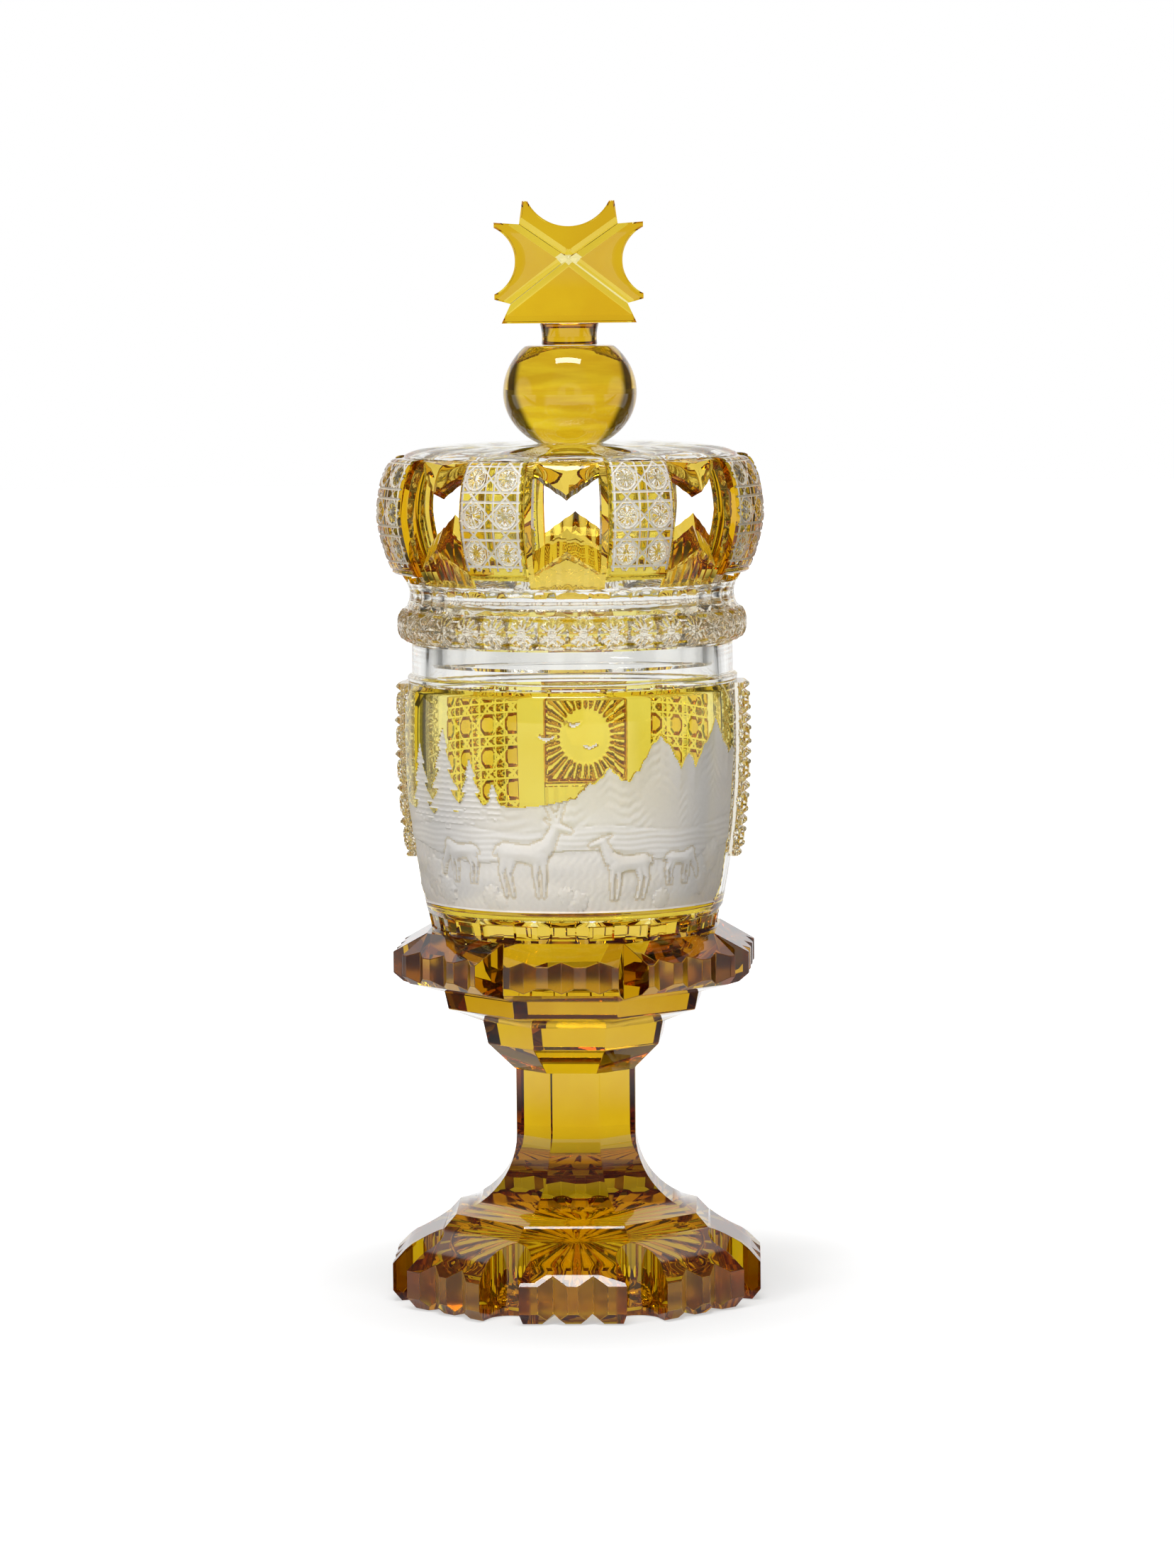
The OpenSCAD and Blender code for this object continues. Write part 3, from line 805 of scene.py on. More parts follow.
Cut = CaneCut | SunCut
SIDE_CUT = CaneCut(period=11.0, rise=11.2, pair=0.145, line=0.11, depth=1.8, rosette=0.29, flat=0.02)
LATTICE_CUT = CaneCut(period=11.0, rise=11.2, pair=0.145, line=0.135, depth=1.7, rosette=0.0)
STRAP_PATTERN = CaneCut(period=11.3, rise=12.2, line=0.033, depth=0.5, rosette=0.28, flat=0.012)


# The goblet


@dataclass
class Foot:
    """The lobed foot with its ground hollow and star-cut underside.

    Attributes:
        hollow_edge: width of the hollow's sloping edge.
        ray_steps: points from one cut to the next.
        ray_slope: how steep a cut's sides are.
        star_heart: radius of the star's flat middle.
        star_rings: where the star's rings of points lie, as shares of the hollow's radius.
        star_fall: how soon the cuts reach their depth, from the middle outward.
        tooth_from: distance from the axis past which the teeth lie.
    """

    edge: float = 0.35
    hollow_r: float = 36.0
    hollow_d: float = 1.2
    hollow_edge: float = 1.0
    star_rays: int = 24
    ray_steps: int = 8
    ray_slope: float = 4.0
    star_depth: float = 1.8
    star_heart: float = 2.5
    star_rings: tuple[float, ...] = (0.94, 0.75, 0.5, 0.25)
    star_fall: float = 1.4
    tooth_from: float = 52.0

    def build(self) -> None:
        """Makes the foot from its node, with rounded edges and a star below."""
        low, high = heights_of("foot")
        bm = cad_mesh("foot")
        rim_r = self.hollow_r - self.hollow_edge
        self.star(bm, refill_level(bm, low + self.hollow_d, rim_r, self.star_rays * self.ray_steps), rim_r)
        for face in bm.faces:
            if on_level(face, low):
                face.material_index = Skin.CUT
            elif is_tooth(face, self.tooth_from):
                face.material_index = Skin.EDGE
        soften(bm, self.edge, [high])
        weld_levels(bm, [high])
        place_piece("foot", bm, FOOT_AMBER, Body.GOBLET)

    def star(self, bm: Mesh, rim: list[bmesh.types.BMVert], rim_r: float) -> None:
        """Closes the hollow with a star of mitre cuts.

        Args:
            bm: the foot's mesh.
            rim: the points of the hollow's edge.
            rim_r: their distance from the axis.
        """
        steps = len(rim)
        angles = np.arange(steps) * FULL_TURN / steps
        wave = unit(1.0 - np.abs(to_line(np.arange(steps) / self.ray_steps, 1.0)) * self.ray_slope)
        last = rim
        for share in (*self.star_rings, self.star_heart / rim_r):
            depth = self.hollow_d + self.star_depth * wave * min(1.0, share * self.star_fall)
            ring = [bm.verts.new(p) for p in polar(rim_r * share, angles, depth)]
            for i in range(steps):
                j = (i + 1) % steps
                bm.faces.new((last[i], last[j], ring[j], ring[i]))
            last = ring
        bm.faces.new(last)


@dataclass(frozen=True)
class Barrel:
    """The curve of the bowl's wall, shared by the bowl and its panels.

    Attributes:
        base_r: radius where the bowl stands on the calyx.
    """

    base_z: float
    base_r: float = 47.2
    belly_r: float = 54.6
    belly_h: float = 64.0

    def radius(self, height: Array, out: float = 0.0) -> Array:
        """Returns the wall's radius at a height, standing out by a given amount."""
        run = self.belly_r - self.base_r
        bend = (self.belly_h**2 + run**2) / (2 * run) + out
        from_belly = height - (self.base_z + self.belly_h)
        return self.belly_r + out - bend + np.sqrt(bend**2 - from_belly**2)


BARREL = Barrel(heights_of("bowl")[0])


@dataclass
class StemAndCalyx:
    """The octagonal stem and the three tiers of the calyx.

    Attributes:
        flange: the tier that the bowl stands on.
        pieces: the nodes, from below.
        shaded_pieces: those given the darker amber, painted shade for the darker look of these tiers.
        seat_gap: how much smaller the seat is than the bowl's base.
        tooth_from: distance from the axis past which the flange's teeth lie.
    """

    edge: float = 0.2
    flange: str = "calyx_flange"
    pieces: tuple[str, ...] = ("stem", "calyx_lower", "calyx_middle", flange)
    shaded_pieces: tuple[str, ...] = ("calyx_middle", flange)
    seat_steps: int = 96
    seat_gap: float = 0.02
    tooth_from: float = 47.0

    def build(self) -> None:
        """Makes each piece from its node, with rounded edges and weld faces."""
        for node in self.pieces:
            levels = heights_of(node)
            bm = cad_mesh(node)
            if node == self.flange:
                self.seat_bowl(bm, levels[1])
            soften(bm, self.edge, levels)
            weld_levels(bm, levels[:1] if node == self.flange else levels)
            if node == self.flange:
                self.mark_flange(bm, levels[1])
            # Painted shade: the middle tier and the flange take the darker amber.
            finishes = CALYX_AMBER if node in self.shaded_pieces else ALL_AMBER
            place_piece(node, bm, finishes, Body.GOBLET)

    def seat_bowl(self, bm: Mesh, top: float) -> None:
        """Draws the bowl's round seat in the top face of the flange."""
        bm.faces.new(refill_level(bm, top, BARREL.base_r - self.seat_gap, self.seat_steps))
        bmesh.ops.recalc_face_normals(bm, faces=bm.faces)

    def mark_flange(self, bm: Mesh, top: float) -> None:
        """Gives the seat its weld skin and the teeth theirs."""
        for face in bm.faces:
            if len(face.verts) >= self.seat_steps and on_level(face, top):
                face.material_index = Skin.WELD
            elif is_tooth(face, self.tooth_from):
                face.material_index = Skin.EDGE


@dataclass(frozen=True)
class PanelSite:
    """Where a raised panel stands on the bowl.

    Attributes:
        node: the frame node.
        at: the angle of its middle from the picture's middle.
        half: its half angle.
        low: height of its lower edge above the bowl's base.
        height: its height.
        out: how far it stands out.
    """

    node: str
    at: float
    half: float
    low: float = 24.0
    height: float = 57.0
    out: float = 2.0

    def angles(self, steps: int) -> Array:
        """Returns evenly spaced angles across the panel, 0 towards +X."""
        return FRONT + BOWL_TURN + self.at + np.linspace(-self.half, self.half, steps)

    def heights(self, steps: int) -> Array:
        """Returns evenly spaced heights above the resting plane."""
        return BARREL.base_z + self.low + np.linspace(0.0, self.height, steps)

    def grid(self, cell: float) -> tuple[float, list[Array]]:
        """Returns the panel's width, and a flat grid over it with cells of about this size."""
        width = 2 * math.radians(self.half) * BARREL.belly_r
        return width, flat_grid(width, self.height, round(width / cell) + 1, round(self.height / cell) + 1)

    def mesh(self, depth: Array, skins: Array, wall: Skin = Skin.CASED) -> Mesh:
        """Makes the panel's mesh.

        Args:
            depth: how far its face is cut back, at the points of its grid.
            skins: one Skin per cell of the grid.
            wall: skin of the walls.

        Returns:
            The closed mesh.
        """
        angles, heights = self.angles(depth.shape[0]), self.heights(depth.shape[1])
        faces = raised(BARREL.radius(heights, self.out), BARREL.radius(heights), depth, angles, heights)
        return sheet_mesh(*faces, skins, wall)


HANDS = (("left", -1.0), ("right", 1.0))
PICTURE = PanelSite("picture_panel", 0.0, 75.0, low=7.5, height=74.0, out=1.6)
SIDES = [PanelSite(f"cut_panel_{hand}", side * 93.0, 11.0, out=4.0) for hand, side in HANDS]
LATTICES = [PanelSite(f"lattice_panel_{hand}", side * 134.0, 19.0) for hand, side in HANDS]
SUNBURST = PanelSite("sunburst_panel", 180.0, 16.5)
PANELS = [PICTURE, *SIDES, *LATTICES, SUNBURST]


@dataclass
class Bowl:
    """The clear barrel bowl: foot band with a row of upright cuts, bead, lip and thick floor.

    Attributes:
        cove: how far the lip widens at its foot, and its height there.
        ease_in: how far an eased edge is drawn in.
        ease_top: how far it drops there.
        ease_wall: how far it reaches down the wall.
        floor_round: width and height of the rounding between wall and floor.
        floor_arc: first and last angle of that rounding, and its points.
        step: angle between two profiles.
        flat_rise: how soon the flats run out towards the band's ends.
        cut_half: half width of a cut.
        cut_slope: width of a cut's sloping sides.
    """

    lip_r: float = 52.7
    lip_h: float = 11.0
    bead_r: float = 54.2
    bead_h: float = 2.2
    mouth_r: float = 46.8
    cove: Span = (0.2, 0.8)
    ease_in: float = 0.5
    ease_top: float = 0.1
    ease_wall: float = 0.6
    wall: float = 6.0
    floor_h: float = 8.0
    floor_round: Span = (6.0, 5.0)
    floor_arc: tuple[float, float, int] = (15.0, 90.0, 6)
    rows: int = 60
    inner_rows: int = 40
    step: float = 1.5
    flats: int = 16
    flat_rise: float = 5.0
    cuts: int = 24
    cut_half: float = 4.3
    cut_low: float = 0.8
    cut_high: float = 5.6
    cut_depth: float = 0.8
    cut_slope: float = 0.5

    def build(self) -> None:
        """Makes the bowl, with weld skin where panels stand on it."""
        rim_z = heights_of("bowl")[1]
        turns, z_out = self.turns(), self.outer_heights(rim_z - self.lip_h - self.bead_h)
        r_out = self.outer_radii(turns, z_out)
        rest = self.profile(rim_z)
        inner = np.broadcast_to(rest[:, 0], (len(turns), len(rest)))
        radii = np.hstack([r_out, inner, np.zeros((len(turns), 1)), r_out[:, :1]])
        heights = np.concatenate([z_out, rest[:, 1], [BARREL.base_z, BARREL.base_z]])
        skins = np.full((len(turns), radii.shape[1] - 1), Skin.CUT)
        skins[:, :int(np.sum(z_out - BARREL.base_z < self.cut_high))] = Skin.EDGE
        skins[:, -2:] = Skin.WELD
        self.cover_panels(skins, turns, z_out)
        bm = ring_mesh(polar(radii, turns[:, None], heights), skins)
        place_piece("bowl", bm, BOWL_FINISH, Body.GOBLET)

    def turns(self) -> Array:
        """Returns the angles of the profiles: even steps, and the edges of panels and cuts."""
        sides = np.degrees(np.array([self.cut_half, self.cut_half - self.cut_slope]) / BARREL.base_r)
        centres = FRONT + BOWL_TURN + FULL_TURN / self.cuts * np.arange(self.cuts)
        edges = [site.angles(2) for site in PANELS] + [centres + side for side in (*sides, *-sides)]
        turns = np.concatenate([np.arange(0.0, FULL_TURN, self.step), *edges])
        return np.unique((turns % FULL_TURN).round(6))

    def outer_heights(self, bead_z: float) -> Array:
        """Returns the heights of the outer wall's rows, up to the bead."""
        ends = [self.cut_low, self.cut_low + self.cut_slope, self.cut_high - self.cut_slope, self.cut_high]
        marks = [site.heights(2) for site in PANELS] + [BARREL.base_z + np.array(ends)]
        return np.unique(np.concatenate([np.linspace(BARREL.base_z, bead_z, self.rows), *marks]).round(6))

    def outer_radii(self, turns: Array, z_out: Array) -> Array:
        """Returns the outer wall's radii, with the flats and the upright cuts of the foot band."""
        up = z_out - BARREL.base_z
        band = unit(up / PICTURE.low)
        from_front = turns - FRONT - BOWL_TURN
        off = np.radians(to_line(from_front, FULL_TURN / self.flats))
        flat = math.cos(math.pi / self.flats) / np.cos(off)
        share = unit(np.minimum(band, 1.0 - band) * self.flat_rise)
        radii = BARREL.radius(z_out) * (1.0 - np.outer(1.0 - flat, share))
        aside = np.radians(np.abs(to_line(from_front, FULL_TURN / self.cuts))) * BARREL.base_r
        inside = np.minimum.outer(self.cut_half - aside, np.minimum(up - self.cut_low, self.cut_high - up))
        return radii - self.cut_depth * unit(inside / self.cut_slope)

    def profile(self, rim_z: float) -> Array:
        """Returns radii and heights over bead, lip and mouth and down to the middle of the floor."""
        lip_z = rim_z - self.lip_h
        bead_z = lip_z - self.bead_h
        floor_z = BARREL.base_z + self.floor_h
        wide, high = self.floor_round
        z_in = np.linspace(bead_z, floor_z + high, self.inner_rows)
        wall = list(zip(BARREL.radius(z_in, -self.wall), z_in))
        corner = wall[-1][0] - wide
        arc = np.radians(np.linspace(*self.floor_arc))
        return np.array([
            (self.bead_r - self.ease_in, bead_z + self.ease_top),
            (self.bead_r, bead_z + self.ease_wall),
            (self.bead_r, lip_z - self.ease_wall),
            (self.bead_r - self.ease_in, lip_z - self.ease_top),
            (self.lip_r + self.cove[0], lip_z + self.cove[0]),
            (self.lip_r, lip_z + self.cove[1]),
            (self.lip_r, rim_z - self.ease_wall),
            (self.lip_r - self.ease_in, rim_z - self.ease_top),
            (self.mouth_r + self.ease_in, rim_z - self.ease_top),
            (self.mouth_r, rim_z - self.ease_wall),
            *wall,
            *[(corner + wide * math.cos(a), floor_z + high - high * math.sin(a)) for a in arc],
            (0.0, floor_z),
        ])

    def cover_panels(self, skins: Array, turns: Array, z_out: Array) -> None:
        """Marks the cased zone at the back, and the wall under the panels as weld skin.

        Args:
            skins: the ring's skins, changed in place.
            turns: angles of the ring's profiles.
            z_out: heights of the wall's rows.
        """
        middle = (turns + np.append(turns[1:], turns[0] + FULL_TURN)) / 2.0
        level = (z_out[:-1] + z_out[1:]) / 2.0
        back = PanelSite("", SUNBURST.at, SUNBURST.at - LATTICES[1].at + LATTICES[1].half)
        for site in [back, *PANELS]:
            near = np.abs(to_line(middle - FRONT - BOWL_TURN - site.at, FULL_TURN)) < site.half
            between = np.abs(level - BARREL.base_z - site.low - site.height / 2.0) < site.height / 2.0
            skins[np.ix_(near, np.flatnonzero(between))] = Skin.CASED if site is back else Skin.WELD


@dataclass
class CutPanel:
    """A raised panel on the bowl with a cut pattern.

    Attributes:
        wall: skin of its walls.
        cell: size of the mesh's cells.
        bevel: width of the bevel round its edge.
        least: glass that is left under the deepest cut.
    """

    site: PanelSite
    cut: Cut
    slot: Slot
    wall: Skin = Skin.CASED
    cell: float = 0.4
    bevel: float = 0.9
    least: float = 0.2
    finishes: Finishes = BACK_CUT

    def build(self) -> None:
        """Makes the panel."""
        site = self.site
        width, (across, along) = site.grid(self.cell)
        edge = np.minimum.reduce([width / 2 - np.abs(across), along, site.height - along])
        depth = bevelled(self.cut.carve(across, along)[0], edge, self.bevel, self.bevel)
        skins = self.cut.carve(middles(across), middles(along))[1]
        bm = site.mesh(np.minimum(depth, site.out - self.least), skins, self.wall)
        place_piece(site.node, bm, self.finishes, Body.GOBLET)


# The engraved picture


def limb(x: Array, y: Array, start: Span, end: Span, thick: float, thin: float) -> Array:
    """Returns the distance to a tapered limb, negative inside it.

    Args:
        x: points' horizontal places.
        y: points' vertical places.
        start: the limb's thick end.
        end: its thin end.
        thick: half width at the start.
        thin: half width at the end.

    Returns:
        The signed distances.
    """
    dx, dy = end[0] - start[0], end[1] - start[1]
    along = unit(((x - start[0]) * dx + (y - start[1]) * dy) / (dx * dx + dy * dy))
    return np.hypot(x - start[0] - along * dx, y - start[1] - along * dy) - (thick + (thin - thick) * along)


Limb = tuple[Span, Span, float, float]
DEER_BODY: tuple[Limb, ...] = (
    ((0.25, 0.78), (-0.06, 0.81), 0.20, 0.155),
    ((-0.06, 0.81), (-0.38, 0.82), 0.155, 0.185),
    ((0.22, 0.84), (0.42, 0.96), 0.17, 0.13),
    ((0.33, 0.74), (0.36, 0.40), 0.075, 0.042),
    ((0.36, 0.40), (0.34, 0.02), 0.042, 0.030),
    ((0.22, 0.70), (0.18, 0.40), 0.070, 0.042),
    ((0.18, 0.40), (0.23, 0.02), 0.040, 0.030),
    ((-0.40, 0.74), (-0.52, 0.46), 0.12, 0.05),
    ((-0.52, 0.46), (-0.44, 0.02), 0.045, 0.030),
    ((-0.28, 0.72), (-0.36, 0.44), 0.10, 0.05),
    ((-0.36, 0.44), (-0.29, 0.02), 0.042, 0.030),
    ((-0.54, 0.90), (-0.62, 0.80), 0.045, 0.025),
)
DEER_GRAZING_HEAD: tuple[Limb, ...] = (
    ((0.42, 0.86), (0.70, 0.48), 0.13, 0.075),
    ((0.70, 0.46), (0.78, 0.20), 0.085, 0.045),
    ((0.66, 0.56), (0.56, 0.60), 0.030, 0.012),
)
DEER_RAISED_HEAD: tuple[Limb, ...] = (
    ((0.40, 0.90), (0.60, 1.28), 0.14, 0.085),
    ((0.60, 1.32), (0.86, 1.24), 0.092, 0.045),
    ((0.55, 1.38), (0.42, 1.45), 0.032, 0.012),
)
DEER_ANTLERS: tuple[Limb, ...] = (
    ((0.60, 1.40), (0.46, 1.70), 0.045, 0.036),
    ((0.46, 1.70), (0.58, 2.00), 0.036, 0.02),
    ((0.54, 1.52), (0.74, 1.64), 0.034, 0.02),
    ((0.46, 1.72), (0.30, 1.90), 0.034, 0.02),
    ((0.64, 1.40), (0.72, 1.72), 0.042, 0.034),
    ((0.72, 1.72), (0.86, 1.94), 0.034, 0.02),
)


@dataclass(frozen=True)
class Deer:
    """An engraved deer, drawn from tapered limbs in shares of its height.

    Attributes:
        x: place of its middle across the panel.
        y: height of its hooves.
        tall: height of its back.
        facing: 1 to the right, -1 to the left.
        antlers: whether it carries antlers.
        grazing: whether its head is down.
    """

    x: float
    y: float
    tall: float
    facing: int = 1
    antlers: bool = False
    grazing: bool = False

    def distance(self, px: Array, py: Array) -> Array:
        """Returns the distance to the deer's outline, negative inside it."""
        u, v = (px - self.x) * self.facing / self.tall, (py - self.y) / self.tall
        limbs = DEER_BODY + (DEER_GRAZING_HEAD if self.grazing else DEER_RAISED_HEAD)
        limbs += DEER_ANTLERS if self.antlers else ()
        return np.min([limb(u, v, *shape) for shape in limbs], axis=0) * self.tall


@dataclass(frozen=True)
class Fir:
    """An engraved fir tree.

    Attributes:
        x: place of its trunk across the panel.
        y: height of its foot.
        tall: its height.
        spread: half width of its lowest boughs.
        tiers: rows of boughs.
        tip: how far its taper runs past its top, as a share of its height.
        bough: a bough's width at its upper and lower end, as shares of the taper there.
        trunk: height and half width of the bare trunk, as shares of height and spread.
    """

    x: float
    y: float
    tall: float
    spread: float
    tiers: int
    tip: float = 1.02
    bough: Span = (0.45, 1.10)
    trunk: Span = (0.06, 0.12)

    def distance(self, px: Array, py: Array) -> Array:
        """Returns the distance to the tree's outline, negative inside it."""
        share = (py - self.y) / self.tall
        row = (share * self.tiers) % 1.0
        upper, lower = self.bough
        half = self.spread * unit(self.tip - share) * (upper + (lower - upper) * (1.0 - row))
        half = np.where(share < self.trunk[0], self.spread * self.trunk[1], half)
        return np.maximum(np.abs(px - self.x) - half, np.maximum(-share, share - 1.0) * self.tall)


@dataclass
class PicturePanel:
    """The raised front panel: amber sky above, a matt engraved lake landscape with deer below.

    Attributes:
        cell: size of the mesh's cells.
        corner: how far its corners are cut off.
        least: glass that is left at the bevel's foot.
        deepest: depth that no cut passes.
        plain: height of the plain strip at its lower edge.
        outline: width of the line of painted shade round the deer.
        crag: how steep the peaks are.
        peaks: place, rise and half width of each peak.
        shores: heights of the lake's far and near shore.
        ground: depth from which bushes and deer stand out.
        skin: depth of their highest parts.
        stand: how far the deer stand out.
        roundness: distance over which they do so, as a share of their height.
        bushes: place, height and radius of each bush.
        wing: reach and rise of a bird's wing, and its half width at both ends.
    """

    cell: float = 0.47
    bevel: float = 1.6
    corner: float = 7.0
    least: float = 0.15
    deepest: float = 1.4
    plain: float = 3.2
    outline: float = 0.7
    hill_h: float = 36.0
    crag: float = 0.62
    peaks: tuple[Triple, ...] = (
        (16.0, 13.0, 11.0), (33.0, 24.0, 10.5), (44.0, 17.0, 8.0), (57.0, 27.0, 12.0), (68.0, 19.0, 7.0),
    )
    shores: Span = (30.0, 21.0)
    ground: float = 0.9
    skin: float = 0.05
    stand: float = 0.85
    roundness: float = 0.16
    bush_stand: float = 0.6
    bushes: tuple[Triple, ...] = (
        (-53.0, 12.5, 6.5), (-46.5, 8.5, 4.6), (-25.5, 7.6, 3.8), (-22.0, 6.2, 2.4), (5.5, 6.4, 3.4),
        (1.5, 8.6, 2.6), (36.0, 6.6, 3.2), (53.0, 13.0, 6.5), (59.0, 19.0, 5.0),
    )
    birds: tuple[Span, ...] = ((-4.0, 59.0), (4.5, 63.5), (9.5, 56.5))
    wing: tuple[float, float, float, float] = (2.6, 1.3, 0.32, 0.14)
    deer: tuple[Deer, ...] = (
        Deer(-12.0, 8.0, 17.5, 1, antlers=True),
        Deer(-37.0, 12.0, 12.5, -1, grazing=True),
        Deer(22.5, 7.0, 14.5, -1),
        Deer(43.0, 11.0, 10.5, 1, grazing=True),
    )
    firs: tuple[Fir, ...] = (
        Fir(-55.0, 31.0, 25.0, 8.5, 4),
        Fir(-42.0, 29.0, 33.0, 9.5, 5),
        Fir(-30.5, 31.0, 21.0, 7.0, 4),
        Fir(-22.0, 32.5, 12.5, 4.2, 3),
    )

    def skyline(self, x: Array) -> Array:
        """Returns the height of the hills and peaks above the panel's lower edge."""
        hills = self.hill_h + 3.0 * np.cos(x / 17.0) + 1.2 * np.sin(x / 6.1)
        slopes = [rise - np.abs(x - at) * rise / half * self.crag for at, rise, half in self.peaks]
        crags = self.hill_h + np.max(slopes, axis=0)
        return np.maximum(hills, crags + 0.6 * np.sin(x * 0.9) + 0.35 * np.sin(x * 2.1 + 1.0))

    def bird_distance(self, x: Array, y: Array) -> Array:
        """Returns the distance to the nearest bird, negative inside it."""
        reach, lift, *widths = self.wing
        wings = [
            limb(x, y, (bx, by), (bx + side * reach, by + lift), *widths)
            for bx, by in self.birds for side in (-1, 1)
        ]
        return np.min(wings, axis=0)

    def land(self, x: Array, y: Array, line: Array) -> Array:
        """Returns the depth of the hills' strokes, the lake's ripples and the meadow's blades."""
        far = self.shores[0] + 1.2 * np.sin(x / 9.0)
        near = self.shores[1] + 2.4 * np.sin(x / 12.0 + 1.0)
        strokes = 0.07 * np.sin(1.9 * (y - 0.7 * line) + 2.0 * np.sin(x * 0.23))
        depth = 0.2 + 0.4 * unit((line - y) / 9.0) + strokes * (0.5 + 0.5 * np.sin(x * 0.31 + y * 0.2))
        ripples = 0.55 + 0.07 * np.sin(y * 3.4 + 0.8 * np.sin(x * 0.35))
        depth = np.where((y < far) & (y > near), ripples, depth)
        mounds = 0.26 * np.sin(y * 0.62 + 0.9 * np.sin(x * 0.09)) * np.cos(x * 0.11 + 0.4)
        blades = 0.11 * np.sin(x * 2.3 + 1.3 * np.sin(y * 1.1)) * np.sin(y * 1.3 + 0.6 * np.sin(x * 0.13))
        depth = np.where(y <= near, 0.95 + mounds + blades, depth)
        return depth + (groove(y - near, 1.3, 0.22) + groove(y - far, 0.7, 0.15))

    def stand_out(self, depth: Array, away: Array, lift: Array, moat: Array) -> Array:
        """Raises a figure from the ground.

        Args:
            depth: the depth before.
            away: distance to the figure, negative inside it.
            lift: how far it stands out of the ground.
            moat: extra depth round it.

        Returns:
            The new depth.
        """
        return np.where(away < 0.0, np.maximum(self.ground - lift, self.skin), depth + moat)

    def engrave(self, x: Array, y: Array) -> tuple[Array, Array]:
        """Works out the picture.

        Args:
            x: distance from the panel's middle line, in millimetres.
            y: height above the panel's lower edge.

        Returns:
            The depth of the engraving in millimetres, and whether the surface is matt.
        """
        line = self.skyline(x)
        firs = np.min([fir.distance(x, y) for fir in self.firs], axis=0)
        matt = ((y < line) | (firs < 0.0) | (self.bird_distance(x, y) < 0.0)) & (y > self.plain)
        boughs = 0.3 * np.abs(np.sin(y * 1.7 + 0.5 * np.abs(np.sin(x * 1.1))))
        depth = np.where(firs < 0.0, 0.2 + boughs, self.land(x, y, line) + groove(firs, 1.2, 0.18))
        leaves = 0.12 * np.sin(x * 2.6 + 2.0 * np.sin(y * 1.9)) * np.sin(y * 2.4 + 1.5 * np.sin(x * 1.7))
        for bx, by, size in self.bushes:
            ragged = size * (1.0 + 0.1 * np.sin(9.0 * np.arctan2(y - by, x - bx)))
            away = np.hypot(x - bx, y - by) - ragged
            lump = self.bush_stand * np.sqrt(unit(-away / size)) + leaves
            depth = self.stand_out(depth, away, lump, groove(away, 1.0, 0.25))
        for deer in self.deer:
            away = deer.distance(x, y)
            lift = self.stand * np.sqrt(unit(-away / (self.roundness * deer.tall)))
            depth = self.stand_out(depth, away, lift, groove(away, 1.4, 0.35))
        return np.clip(np.where(matt, depth, 0.0), 0.0, self.deepest), matt

    def build(self) -> None:
        """Makes the panel."""
        width, (x, y) = PICTURE.grid(self.cell)
        depth, matt = self.engrave(x, y)
        across, along = width / 2 - np.abs(x), np.minimum(y, PICTURE.height - y)
        edge = np.minimum.reduce([across, along, (across + along - self.corner) / math.sqrt(2)])
        depth = bevelled(depth, edge, self.bevel, PICTURE.out - self.least)
        matt &= edge > self.bevel
        matt_cell = middles(matt.astype(float)) >= 0.5
        skins = np.where(matt_cell, Skin.CUT, np.where(edge[:-1, :-1] < self.bevel, Skin.EDGE, Skin.CASED))
        # Painted shade: matt cells just outside each deer take a darker tone, as shade in the moat round it.
        away = np.min([deer.distance(middles(x), middles(y)) for deer in self.deer], axis=0)
        skins = np.where(matt_cell & (away > 0.0) & (away < self.outline), Skin.PAINTED_SHADE, skins)
        bm = PICTURE.mesh(depth, skins)
        place_piece(PICTURE.node, bm, CASED_MATT, Body.GOBLET, name="picture_glass")


# The cover


@dataclass(frozen=True)
class CrownWall:
    """The curve of the crown's wall, shared by the pieces that meet it.

    Attributes:
        foot_r: radius where it stands on the band.
        top_r: radius where the dome stands on it.
        bend: radius of the curve from foot to belly.
        low_h: height of the belly above the band.
        high_h: height of the top above the belly.
        strap_half: half angle of a strap.
    """

    foot_r: float = 54.4
    belly_r: float = 61.6
    top_r: float = 54.5
    bend: float = 55.0
    low_h: float = 21.5
    high_h: float = 19.2
    wall: float = 5.0
    strap_half: float = 10.0

    def radius(self, above: Array, out: float = 0.0) -> Array:
        """Returns the wall's radius at a height above the band, standing out by a given amount."""
        start, end = np.array([self.foot_r, 0.0]), np.array([self.belly_r, self.low_h])
        way = end - start
        length = float(np.hypot(*way))
        normal = np.array([-way[1], way[0]]) / length
        centre = (start + end) / 2.0 + normal * math.sqrt(self.bend**2 - length**2 / 4.0)
        low = centre[0] + np.sqrt(np.maximum(self.bend**2 - (above - centre[1]) ** 2, 0.0))
        share = unit((above - self.low_h) / self.high_h)
        high = self.top_r + (self.belly_r - self.top_r) * np.sqrt(1.0 - share * share)
        return np.where(above < self.low_h, low, high) + out


CROWN = CrownWall()


